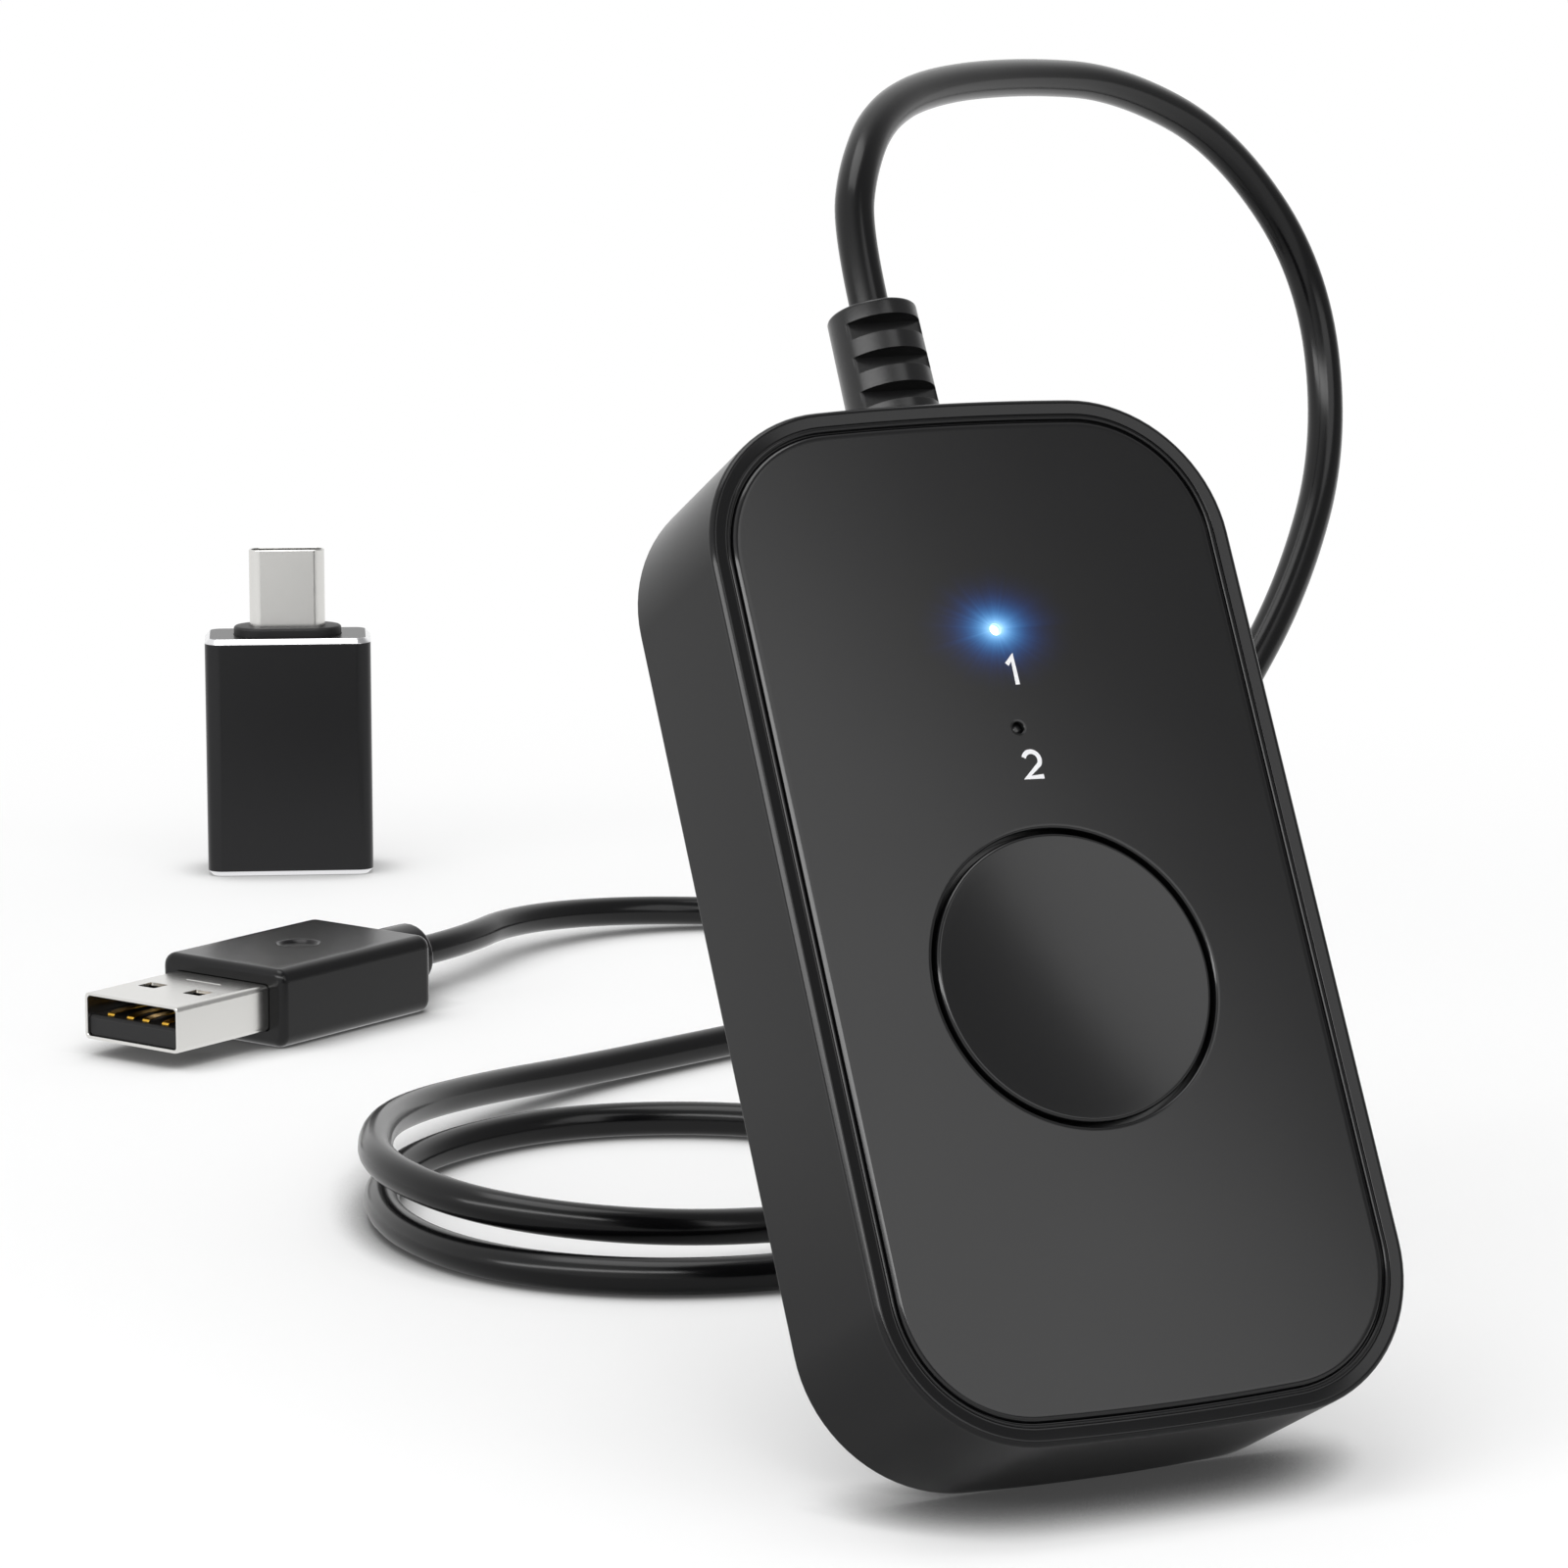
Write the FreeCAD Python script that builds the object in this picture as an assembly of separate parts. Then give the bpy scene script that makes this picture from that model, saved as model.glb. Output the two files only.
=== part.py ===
"""Wired mouse jiggler leaning on the lower rear edge of its housing, with its cord, plug and adapter.

Three local frames are used, each in millimetres:
  housing  x across, y up the length, z out of the face; z = 0 is the plane of the front rim
  plug     x forward with the tip at 0, y across, z up from the surface it lies on
  adapter  x across, y back, z up from the surface it stands on
Each sub-part is made in its own frame and placed once in the part's frame, whose origin is
the spot where the lower rear edge of the housing touches the surface, with +Z up.
"""
import FreeCAD, Part
import math
import os

V = FreeCAD.Vector

# ---- housing -------------------------------------------------------------------------------
BODY_W = 42.2             # across
BODY_L = 77.6             # over the crowned ends
BODY_T = 14.8             # from the rear plane to the front rim
CORNER_R = 11.25
END_CROWN = 0.95          # how far each end bows out over the width
LEAN = 28.2               # degrees that the housing leans back from upright
WALL = 1.6
FRONT_ROUND = 0.45
REAR_ROUND = 0.5
RIM_W = 1.25              # flat rim, from the outside
RIM_STEP_D = 0.35         # shelf between the rim and the face panel
LEDGE_W = 1.4             # ledge that carries the face panel
LEDGE_T = 1.2
REBATE_W = 0.8            # rebate in the wall's rear end for the cover

# ---- face panel and its holes ----------------------------------------------------------------
PANEL_T = 1.6
PANEL_GAP = 0.1
PANEL_ROUND = 0.35
BUTTON_Y = -5.44          # centre of the button, from the middle of the face
BUTTON_HOLE_R = 11.15
HOLE_ROUND = 0.2
LIGHT_DOWN = (17.8, 25.4)  # the two indicator holes, from the upper end
LIGHT_Y = tuple(BODY_L / 2 - down for down in LIGHT_DOWN)
LIGHT_HOLE_R = 0.45
SLEEVE_WALL = 0.6
SLEEVE_L = 2.4
COLLAR_WALL = 1.2         # collar under the panel that guides the button
COLLAR_L = 2.0

# ---- button ----------------------------------------------------------------------------------
BUTTON_GAP = 0.35
BUTTON_DISH = 0.45        # depth of the shallow dish in the cap
BUTTON_ROUND = 0.3
BUTTON_SKIN = 1.3
FLANGE_W = 1.2            # flange that keeps the cap behind the panel
FLANGE_T = 0.9
FLANGE_PLAY = 0.15
FLANGE_GAP = 0.25
STEM_R = 2.2
RIB_COUNT = 6
RIB_T = 0.8

# ---- circuit board ---------------------------------------------------------------------------
BOARD_SIDE_GAP = 1.5      # from the board to the walls
BOARD_END_GAP = 8.7       # from the board to the end walls, room for the bosses and the lead
BOARD_W = BODY_W - 2 * (WALL + BOARD_SIDE_GAP)
BOARD_L = BODY_L - 2 * (WALL + BOARD_END_GAP)
BOARD_T = 1.2
BOARD_CORNER_R = 3.0
BOARD_TOP = -9.6          # height of the board's component side
POST_IN_X, POST_IN_Y = 4.5, 5.0   # screw posts, from the board's edges
POST_X, POST_Y = BOARD_W / 2 - POST_IN_X, BOARD_L / 2 - POST_IN_Y
POST_R = 2.3
SWITCH_W = 6.2
SWITCH_H = 3.3
SWITCH_PLATE_T = 0.3
SWITCH_LEG_W = 0.7
PLUNGER_R = 1.75
PLUNGER_GAP = 0.15
PLUNGER_TOP = 5.0         # plunger's end above the board
PLUNGER_IN = 2.2          # how deep it reaches into the switch
LED_W, LED_L, LED_H = 1.6, 3.2, 1.1
GUIDE_R = 1.0
GUIDE_GAP = 0.05
GUIDE_SUNK = 0.3          # light guide's end below the face
CHIP_W, CHIP_L, CHIP_H = 10.2, 4.2, 1.5
CHIP_UP = 5.5             # chip's middle above the board's lower edge
CHIP_Y = CHIP_UP - BOARD_L / 2
CHIP_PINS = 8             # on each long side
CRYSTAL_W, CRYSTAL_L, CRYSTAL_H = 3.6, 9.5, 3.2
COLUMN_IN = 6.0           # the two columns of small parts, from the board's sides
COLUMN_X = BOARD_W / 2 - COLUMN_IN
CRYSTAL_DOWN = 10.5       # below the upper posts
CRYSTAL_X, CRYSTAL_Y = -COLUMN_X, POST_Y - CRYSTAL_DOWN
SMALL_W, SMALL_L, SMALL_H = 0.9, 1.7, 0.6
SMALL_ASIDE = 2.2         # from the chip or a light to the small part beside it
RESISTOR_X = LED_W / 2 + SMALL_ASIDE
CAPACITOR_X = CHIP_W / 2 + SMALL_ASIDE
RESISTOR_DOWN = 17.0      # column resistor, below the upper posts
RESISTOR_UP = 6.5         # column resistor, above the lower posts
LEFT_CAPACITOR_DOWN = 3.0     # column capacitors, below the upper posts
LOW_CAPACITOR_DOWN = 18.0
RIGHT_CAPACITOR_DOWN = 7.5
RESISTOR_SPOTS = ((RESISTOR_X, LIGHT_Y[0]), (RESISTOR_X, LIGHT_Y[1]),
                  (COLUMN_X, POST_Y - RESISTOR_DOWN), (COLUMN_X, RESISTOR_UP - POST_Y))
CAPACITOR_SPOTS = ((-COLUMN_X, POST_Y - LEFT_CAPACITOR_DOWN),
                   (-COLUMN_X, POST_Y - LOW_CAPACITOR_DOWN), (CAPACITOR_X, CHIP_Y),
                   (-CAPACITOR_X, CHIP_Y), (COLUMN_X, POST_Y - RIGHT_CAPACITOR_DOWN))
HEADER_W, HEADER_L, HEADER_H = 8.4, 3.6, 4.2
HEADER_IN = 2.5           # header's middle, from the board's upper edge
HEADER_Y = BOARD_L / 2 - HEADER_IN

# ---- rear cover and screws -------------------------------------------------------------------
COVER_T = 1.6
COVER_GAP = 0.1
BOSS_REACH = 7.7          # from the centre of a corner's arc out to its screw
BOSS_ANGLE = 47.0         # degrees above the width axis
BOSS_R = 2.3
SCREW_R = 1.0
SCREW_L = 6.0
SCREW_GAP = 0.06
HEAD_R = 1.9
HEAD_T = 0.95
HEAD_SUNK = 1.05
HEAD_GAP = 0.15
DRIVE_R = 1.0             # cross recess of the screws
DRIVE_T = 0.3
BOARD_SCREW_L = 3.4

# ---- strain relief ---------------------------------------------------------------------------
LEAD_Z = -7.9             # height of the lead's axis where it leaves the housing
BOOT_R = 3.5
BOOT_TIP_R = 3.4
BOOT_L = 10.4             # outside the housing
BOOT_ROUND = 0.3
NECK_R = 2.5
NECK_GAP = 0.1
BOOT_FLANGE_T = 1.5
SLOT_COUNT = 3            # across the front, and as many across the rear
SLOT_H = 1.35             # along the boot
SLOT_FLOOR = 1.5          # flat floor of a slot, from the axis
SLOT_PITCH = 2.73
SLOT_FIRST = 2.0          # first slot's middle, from the tip
STUB_L = 4.4              # jacket end inside the housing
WIRE_R = 0.4

# ---- cord ------------------------------------------------------------------------------------
CORD_D = 3.0
LIE_Z = 1.55              # centreline of a stretch that lies on the surface
ARC_SHARE = 0.45          # share of the shorter run that an arc takes at each point
# Points from the strain relief to the plug; its two ends are worked out from those pieces.
RISE = [(1.9, 41.9, 91.0), (6.4, 47.2, 94.8), (14.3, 54.2, 96.5), (27.7, 63.8, 96.5),
        (40.7, 71.4, 95.3), (53.7, 76.3, 90.0), (62.9, 76.8, 78.5), (62.5, 72.4, 64.2),
        (55.0, 66.0, 52.7), (45.2, 61.0, 42.9), (36.5, 58.3, 31.6), (29.9, 56.7, 18.3),
        (21.6, 55.6, 6.2)]
LOOPS = [(8.0, 55.8, LIE_Z), (-7.2, 58.8, LIE_Z), (-17.7, 68.9, LIE_Z), (-20.3, 83.8, LIE_Z),
         (-15.9, 98.2, LIE_Z), (-5.6, 109.2, LIE_Z), (8.7, 113.3, LIE_Z), (22.7, 107.9, LIE_Z),
         (32.2, 95.8, LIE_Z), (33.2, 80.7, LIE_Z), (24.2, 68.9, 2.1), (9.9, 64.6, 3.0),
         (-5.8, 63.6, 4.4), (-17.9, 70.9, 5.8), (-20.9, 85.4, 6.5), (-15.2, 100.0, 5.9),
         (-7.0, 113.0, 4.3), (4.0, 122.5, 3.0), (16.9, 129.6, 1.9)]
TAIL = [(30.4, 135.3, LIE_Z), (44.3, 140.0, LIE_Z), (58.1, 145.3, LIE_Z), (70.1, 153.9, LIE_Z),
        (77.0, 167.2, LIE_Z), (75.4, 182.1, LIE_Z), (65.4, 193.5, LIE_Z), (50.8, 197.4, 2.3),
        (36.6, 192.0, 3.4)]
FIRST_RUN = 6.8
LAST_RUN = 8.0

# ---- plug ------------------------------------------------------------------------------------
PLUG_TIP = (-16.4, 159.2)
PLUG_TURN = -152.6        # degrees from +X to the way the tip points
SHELL_W, SHELL_H = 12.0, 4.5
SHELL_T = 0.3
SHELL_OUT = 12.8          # length that shows
SHELL_IN = 5.0            # length inside the overmould
SHELL_R = 0.5
WINDOW_W, WINDOW_L = 2.2, 2.0
WINDOW_X, WINDOW_Y = 6.2, 2.9
MOULD_W, MOULD_H = 15.8, 7.7
MOULD_L = 22.2
MOULD_ROUND = 1.1
MOULD_EDGE = 0.5
MOULD_GAP = 0.05
MARK_R = 2.0              # plain round dimple on the top
MARK_D = 0.3
COLLAR_R = 3.2
COLLAR_OUT = 6.0
COLLAR_ROUND = 0.6
TONGUE_H = 1.95
TONGUE_BACK = 0.35        # tongue's end behind the tip
TONGUE_GAP = 0.05
CONTACT_W, CONTACT_T = 1.0, 0.25
CONTACT_L = 8.4
CONTACT_Y = (-3.5, -1.0, 1.0, 3.5)
CONTACT_BACK = 1.2

# ---- adapter ---------------------------------------------------------------------------------
ADAPTER_AT = (33.0, 246.0)
ADAPTER_TURN = -21.0
SLEEVE_W, SLEEVE_D, SLEEVE_H = 18.3, 9.6, 26.5
SLEEVE_R = 1.7
SLEEVE_CHAMFER = 0.55
SLEEVE_T = 1.1
SLEEVE_ROOF = 1.6
NOSE_W, NOSE_D, NOSE_H = 12.0, 6.2, 0.95
NOSE_IN = 1.6
TYPEC_W, TYPEC_H = 8.34, 2.56
TYPEC_T = 0.25
TYPEC_OUT = 8.5
TYPEC_FILL = 0.45         # moulding inside the small shell
TYPEC_BACK = 0.6
TYPEC_PINS = 10
TYPEC_PIN_W, TYPEC_PIN_T = 0.26, 0.12
PORT_W, PORT_H = 12.5, 5.12
PORT_T = 0.3
PORT_DEEP = 15.0
PORT_SUNK = 0.3
FIT_GAP = 0.05            # clearance between the adapter's fixed pieces
BLADE_W, BLADE_T = 11.1, 1.84
BLADE_BACK = 1.2
PORT_PIN_L = 9.0


# ---- shared shapes ---------------------------------------------------------------------------
def box(x0, x1, y0, y1, z0, z1):
    return Part.makeBox(x1 - x0, y1 - y0, z1 - z0, V(x0, y0, z0))


def disc(radius, x, y, z0, z1):
    return Part.makeCylinder(radius, z1 - z0, V(x, y, z0), V(0, 0, 1))


def group(solids):
    """Separate solids kept together in one node."""
    return Part.makeCompound(solids)


def outline(inset, z):
    """The housing's outline: straight sides, bowed ends and corner arcs, all offset inwards."""
    half_w, half_l = BODY_W / 2, BODY_L / 2
    end_r = (half_w ** 2 + END_CROWN ** 2) / (2 * END_CROWN)
    end_y = half_l - end_r
    corner_x = half_w - CORNER_R
    corner_y = end_y + math.sqrt((end_r - CORNER_R) ** 2 - corner_x ** 2)
    meet = math.atan2(corner_y - end_y, corner_x)
    r = CORNER_R - inset

    def corner(angle, sx, sy):
        return V(sx * (corner_x + r * math.cos(angle)), sy * (corner_y + r * math.sin(angle)), z)

    edges = []
    side = half_w - inset
    for sx, sy in ((1, 1), (-1, -1)):
        edges += [
            Part.makeLine(V(sx * side, -sy * corner_y, z), V(sx * side, sy * corner_y, z)),
            Part.Arc(corner(0, sx, sy), corner(meet / 2, sx, sy), corner(meet, sx, sy)).toShape(),
            Part.Arc(corner(meet, sx, sy), V(0, sy * (half_l - inset), z),
                     corner(meet, -sx, sy)).toShape(),
            Part.Arc(corner(meet, -sx, sy), corner(meet / 2, -sx, sy),
                     corner(0, -sx, sy)).toShape()]
    return Part.Wire(Part.__sortEdges__(edges))


def corner_centre():
    """The middle of a corner's arc in the first quadrant."""
    half_w = BODY_W / 2
    end_r = (half_w ** 2 + END_CROWN ** 2) / (2 * END_CROWN)
    x = half_w - CORNER_R
    return x, BODY_L / 2 - end_r + math.sqrt((end_r - CORNER_R) ** 2 - x ** 2)


def slab(inset, z0, z1):
    return Part.Face(outline(inset, z0)).extrude(V(0, 0, z1 - z0))


def rounded_box(width, depth, z0, z1, radius):
    """A box about the z axis with its upright edges rounded."""
    solid = box(-width / 2, width / 2, -depth / 2, depth / 2, z0, z1)
    upright = [e for e in solid.Edges if abs(e.BoundBox.ZLength - (z1 - z0)) < 1e-6]
    return solid.makeFillet(radius, upright)


def edges_at(solid, z):
    return [e for e in solid.Edges
            if abs(e.BoundBox.ZMin - z) < 1e-4 and abs(e.BoundBox.ZMax - z) < 1e-4]


def ring_edges(solid, z, radius):
    """Full circles of one radius in the plane at z."""
    return [e for e in edges_at(solid, z)
            if hasattr(e.Curve, "Radius") and abs(e.Curve.Radius - radius) < 1e-4]


# ---- placements ------------------------------------------------------------------------------
def housing_placement():
    """Leans the housing back and sets its rounded lower rear edge down at the origin."""
    s, c = math.sin(math.radians(LEAN)), math.cos(math.radians(LEAN))
    turn = FreeCAD.Rotation(V(1, 0, 0), 90 - LEAN)
    foot = V(0, -BODY_L / 2 + REAR_ROUND * (1 - c), -BODY_T + REAR_ROUND * (1 - s))
    return FreeCAD.Placement(turn.multVec(foot) * -1, turn)


def plug_placement():
    return FreeCAD.Placement(V(PLUG_TIP[0], PLUG_TIP[1], 0),
                             FreeCAD.Rotation(V(0, 0, 1), PLUG_TURN))


def adapter_placement():
    return FreeCAD.Placement(V(ADAPTER_AT[0], ADAPTER_AT[1], 0),
                             FreeCAD.Rotation(V(0, 0, 1), ADAPTER_TURN))


# ---- housing pieces --------------------------------------------------------------------------
def screw_spots():
    cx, cy = corner_centre()
    x = cx + BOSS_REACH * math.cos(math.radians(BOSS_ANGLE))
    y = cy + BOSS_REACH * math.sin(math.radians(BOSS_ANGLE))
    return [(sx * x, sy * y) for sx in (-1, 1) for sy in (-1, 1)]


def housing_shell():
    """Wall, rim, ledge for the face panel and the four screw bosses, moulded in one."""
    body = slab(0, -BODY_T, 0)
    body = body.makeFillet(FRONT_ROUND, edges_at(body, 0))
    body = body.makeFillet(REAR_ROUND, edges_at(body, -BODY_T))
    cover_seat = -BODY_T + COVER_T
    ledge_low = -PANEL_T - LEDGE_T
    body = body.cut(slab(REBATE_W, -BODY_T - 1, cover_seat))
    body = body.cut(slab(WALL, cover_seat - 1, ledge_low))
    body = body.cut(slab(WALL + LEDGE_W, ledge_low - 1, 1))
    body = body.cut(slab(WALL, -PANEL_T, 1))
    body = body.cut(slab(RIM_W, -RIM_STEP_D, 1))
    room = slab(WALL / 2, cover_seat, ledge_low)
    for x, y in screw_spots():
        boss = disc(BOSS_R, x, y, cover_seat, ledge_low)
        body = body.fuse(boss.common(room))
    for x, y in screw_spots():
        body = body.cut(disc(SCREW_R + SCREW_GAP, x, y, cover_seat - 1, cover_seat + SCREW_L))
    neck = boot_hole()
    return body.cut(neck).removeSplitter()


def face_panel():
    panel = slab(WALL + PANEL_GAP, -PANEL_T, 0)
    panel = panel.makeFillet(PANEL_ROUND, edges_at(panel, 0))
    panel = panel.cut(disc(BUTTON_HOLE_R, 0, BUTTON_Y, -PANEL_T - 1, 1))
    panel = panel.makeFillet(HOLE_ROUND, ring_edges(panel, 0, BUTTON_HOLE_R))
    inner = BUTTON_HOLE_R - BUTTON_GAP + FLANGE_W + FLANGE_GAP
    collar = disc(inner + COLLAR_WALL, 0, BUTTON_Y, -PANEL_T - COLLAR_L, -PANEL_T)
    panel = panel.fuse(collar.cut(disc(inner, 0, BUTTON_Y, -PANEL_T - COLLAR_L - 1, 1)))
    bore = GUIDE_R + GUIDE_GAP
    for y in LIGHT_Y:
        sleeve = disc(bore + SLEEVE_WALL, 0, y, -PANEL_T - SLEEVE_L, -PANEL_T)
        panel = panel.fuse(sleeve).cut(disc(bore, 0, y, -PANEL_T - SLEEVE_L - 1, -PANEL_T))
        panel = panel.cut(disc(LIGHT_HOLE_R, 0, y, -PANEL_T - 1, 1))
    return panel.removeSplitter()


def button_cap():
    """A dished cap, hollow below, with a keeper flange, ribs and the stem that works the switch."""
    r = BUTTON_HOLE_R - BUTTON_GAP
    top = -PANEL_T - FLANGE_PLAY
    low = top - FLANGE_T
    cap = disc(r, 0, BUTTON_Y, low, 0)
    cap = cap.makeFillet(BUTTON_ROUND, ring_edges(cap, 0, r))
    rim = r - 2 * BUTTON_ROUND
    ball = (rim ** 2 + BUTTON_DISH ** 2) / (2 * BUTTON_DISH)
    cap = cap.cut(Part.makeSphere(ball, V(0, BUTTON_Y, ball - BUTTON_DISH)))
    cap = cap.fuse(disc(r + FLANGE_W, 0, BUTTON_Y, low, top))
    hollow = disc(r - BUTTON_SKIN, 0, BUTTON_Y, low - 1, -BUTTON_DISH - BUTTON_SKIN)
    cap = cap.cut(hollow)
    for i in range(RIB_COUNT):
        rib = box(0, r - BUTTON_SKIN / 2, -RIB_T / 2, RIB_T / 2, low, -BUTTON_DISH - BUTTON_SKIN)
        rib.rotate(V(0, 0, 0), V(0, 0, 1), 360 / RIB_COUNT * i)
        rib.translate(V(0, BUTTON_Y, 0))
        cap = cap.fuse(rib)
    stem = disc(STEM_R, 0, BUTTON_Y, BOARD_TOP + PLUNGER_TOP, -BUTTON_DISH - BUTTON_SKIN)
    return cap.fuse(stem).removeSplitter()


def rear_cover():
    """Flush plate with sunk screw heads and four posts for the board."""
    low, high = -BODY_T, -BODY_T + COVER_T
    plate = slab(REBATE_W + COVER_GAP, low, high)
    for x, y in screw_spots():
        plate = plate.cut(disc(SCREW_R + 3 * SCREW_GAP, x, y, low - 1, high + 1))
        plate = plate.cut(disc(HEAD_R + HEAD_GAP, x, y, low - 1, low + HEAD_SUNK))
    for x, y in board_spots():
        plate = plate.fuse(disc(POST_R, x, y, high, BOARD_TOP - BOARD_T))
    for x, y in board_spots():
        hole_low = BOARD_TOP - BOARD_SCREW_L - SCREW_GAP
        plate = plate.cut(disc(SCREW_R + SCREW_GAP, x, y, hole_low, BOARD_TOP))
    return plate.removeSplitter()


def screw(x, y, seat, length, way):
    """A pan-head screw: its head lies on the seat, its shank runs along way, +1 or -1 in z."""
    head = Part.makeCylinder(HEAD_R, HEAD_T, V(x, y, seat), V(0, 0, -way))
    rim = [e for e in head.Edges if abs(e.BoundBox.Center.z - (seat - way * HEAD_T)) < 1e-4]
    head = head.makeFillet(HEAD_T * 0.4, rim)
    shank = Part.makeCylinder(SCREW_R, length, V(x, y, seat), V(0, 0, way))
    body = head.fuse(shank)
    for turn in (0, 90):
        slot = box(-DRIVE_R, DRIVE_R, -DRIVE_T / 2, DRIVE_T / 2, 0, HEAD_T * 0.7)
        slot.rotate(V(0, 0, 0), V(0, 0, 1), turn)
        top = seat - HEAD_T if way > 0 else seat + HEAD_T * 0.3
        slot.translate(V(x, y, top))
        body = body.cut(slot)
    return body


def cover_screws():
    seat = -BODY_T + HEAD_SUNK
    return group([screw(x, y, seat, SCREW_L, 1) for x, y in screw_spots()])


def board_spots():
    return [(sx * POST_X, sy * POST_Y) for sx in (-1, 1) for sy in (-1, 1)]


def board_screws():
    return group([screw(x, y, BOARD_TOP, BOARD_SCREW_L, -1) for x, y in board_spots()])


def circuit_board():
    board = rounded_box(BOARD_W, BOARD_L, BOARD_TOP - BOARD_T, BOARD_TOP, BOARD_CORNER_R)
    for x, y in board_spots():
        board = board.cut(disc(SCREW_R + 3 * SCREW_GAP, x, y, BOARD_TOP - BOARD_T - 1, BOARD_TOP + 1))
    return board


def switch_body():
    half = SWITCH_W / 2
    body = box(-half, half, BUTTON_Y - half, BUTTON_Y + half, BOARD_TOP, BOARD_TOP + SWITCH_H)
    well = disc(PLUNGER_R + PLUNGER_GAP, 0, BUTTON_Y,
                BOARD_TOP + PLUNGER_TOP - PLUNGER_IN - 2.0, BOARD_TOP + SWITCH_H + 1)
    return body.cut(well)


def switch_plate():
    """The thin steel cover that is clinched on the switch."""
    half = SWITCH_W / 2
    low = BOARD_TOP + SWITCH_H
    plate = box(-half, half, BUTTON_Y - half, BUTTON_Y + half, low, low + SWITCH_PLATE_T)
    return plate.cut(disc(PLUNGER_R + PLUNGER_GAP, 0, BUTTON_Y, low - 1, low + 1))


def switch_plunger():
    top = BOARD_TOP + PLUNGER_TOP
    return disc(PLUNGER_R, 0, BUTTON_Y, top - PLUNGER_IN, top)


def switch_legs():
    """Four legs bent down from the sides of the switch onto the board."""
    legs = []
    reach, thick = 1.4, 0.25
    for sx in (-1, 1):
        for sy in (-1, 1):
            y = BUTTON_Y + sy * SWITCH_W / 3
            x0, x1 = SWITCH_W / 2, SWITCH_W / 2 + reach
            leg = box(x0, x1, y - SWITCH_LEG_W / 2, y + SWITCH_LEG_W / 2,
                      BOARD_TOP, BOARD_TOP + thick)
            leg = leg.fuse(box(x0, x0 + thick, y - SWITCH_LEG_W / 2, y + SWITCH_LEG_W / 2,
                               BOARD_TOP, BOARD_TOP + SWITCH_H / 2))
            legs.append(leg if sx > 0 else leg.mirror(V(0, 0, 0), V(1, 0, 0)))
    return group(legs)


def indicator_led(y):
    return rounded_box(LED_W, LED_L, BOARD_TOP, BOARD_TOP + LED_H, 0.3).translated(V(0, y, 0))


def light_guide(y):
    """A clear pin in its sleeve, from just above the light to just under the face."""
    pin = disc(GUIDE_R, 0, y, BOARD_TOP + LED_H + FLANGE_PLAY, -PANEL_T - GUIDE_GAP)
    return pin.fuse(disc(LIGHT_HOLE_R - GUIDE_GAP, 0, y, -PANEL_T - GUIDE_GAP, -GUIDE_SUNK))


def microcontroller():
    """A sixteen-pin chip with its gull-wing pins."""
    lift = 0.15
    body = box(-CHIP_W / 2, CHIP_W / 2, CHIP_Y - CHIP_L / 2, CHIP_Y + CHIP_L / 2,
               BOARD_TOP + lift, BOARD_TOP + CHIP_H)
    pitch, wide, thick, reach = 1.27, 0.4, 0.2, 1.0
    for i in range(CHIP_PINS):
        x = (i - (CHIP_PINS - 1) / 2) * pitch
        for sy in (-1, 1):
            y0, y1 = sorted((CHIP_Y + sy * (CHIP_L / 2 - 0.1), CHIP_Y + sy * (CHIP_L / 2 + reach)))
            body = body.fuse(box(x - wide / 2, x + wide / 2, y0, y1, BOARD_TOP, BOARD_TOP + thick))
    return body


def crystal():
    can = rounded_box(CRYSTAL_W, CRYSTAL_L, BOARD_TOP, BOARD_TOP + CRYSTAL_H, CRYSTAL_W / 2 - 0.05)
    return can.translated(V(CRYSTAL_X, CRYSTAL_Y, 0))


def small_parts(spots):
    return group([box(x - SMALL_W / 2, x + SMALL_W / 2, y - SMALL_L / 2, y + SMALL_L / 2,
                      BOARD_TOP, BOARD_TOP + SMALL_H) for x, y in spots])


def wire_header():
    """Four-way header whose mouth faces the cord."""
    y0, y1 = HEADER_Y - HEADER_L / 2, HEADER_Y + HEADER_L / 2
    body = box(-HEADER_W / 2, HEADER_W / 2, y0, y1, BOARD_TOP, BOARD_TOP + HEADER_H)
    for x in wire_places():
        hole = Part.makeCylinder(WIRE_R + FIT_GAP, 1.5, V(x, y1 - 1.5, LEAD_Z), V(0, 1, 0))
        body = body.cut(hole)
    return body


def wire_places():
    pitch = 1.6
    return [(i - 1.5) * pitch for i in range(4)]


def boot_hole():
    """The opening in the housing's upper end for the neck of the strain relief."""
    return Part.makeCylinder(NECK_R + NECK_GAP, 3 * WALL, V(0, BODY_L / 2 - 2 * WALL, LEAD_Z),
                             V(0, 1, 0))


def strain_relief():
    """Round boot with slots across its front and back, a neck in the wall and a flange inside."""
    def bar(radius, y0, y1):
        return Part.makeCylinder(radius, y1 - y0, V(0, y0, 0), V(0, 1, 0))

    outer = Part.makeCone(BOOT_R, BOOT_TIP_R, BOOT_L, V(0, 0, 0), V(0, 1, 0))
    tip = [e for e in outer.Edges if e.BoundBox.YMin > BOOT_L - 1e-4]
    outer = outer.makeFillet(BOOT_ROUND, tip)
    for i in range(SLOT_COUNT):
        y = BOOT_L - SLOT_FIRST - i * SLOT_PITCH
        for side in (-1, 1):
            z0, z1 = sorted((side * SLOT_FLOOR, side * 2 * BOOT_R))
            outer = outer.cut(box(-2 * BOOT_R, 2 * BOOT_R, y - SLOT_H / 2, y + SLOT_H / 2, z0, z1))
    neck = bar(NECK_R, -WALL - BOOT_FLANGE_T, 0)
    inner = bar(BOOT_R, -WALL - BOOT_FLANGE_T, -WALL - NECK_GAP)
    boot = outer.fuse(neck).fuse(inner).removeSplitter()
    boot.translate(V(0, BODY_L / 2, LEAD_Z))
    return boot


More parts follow.
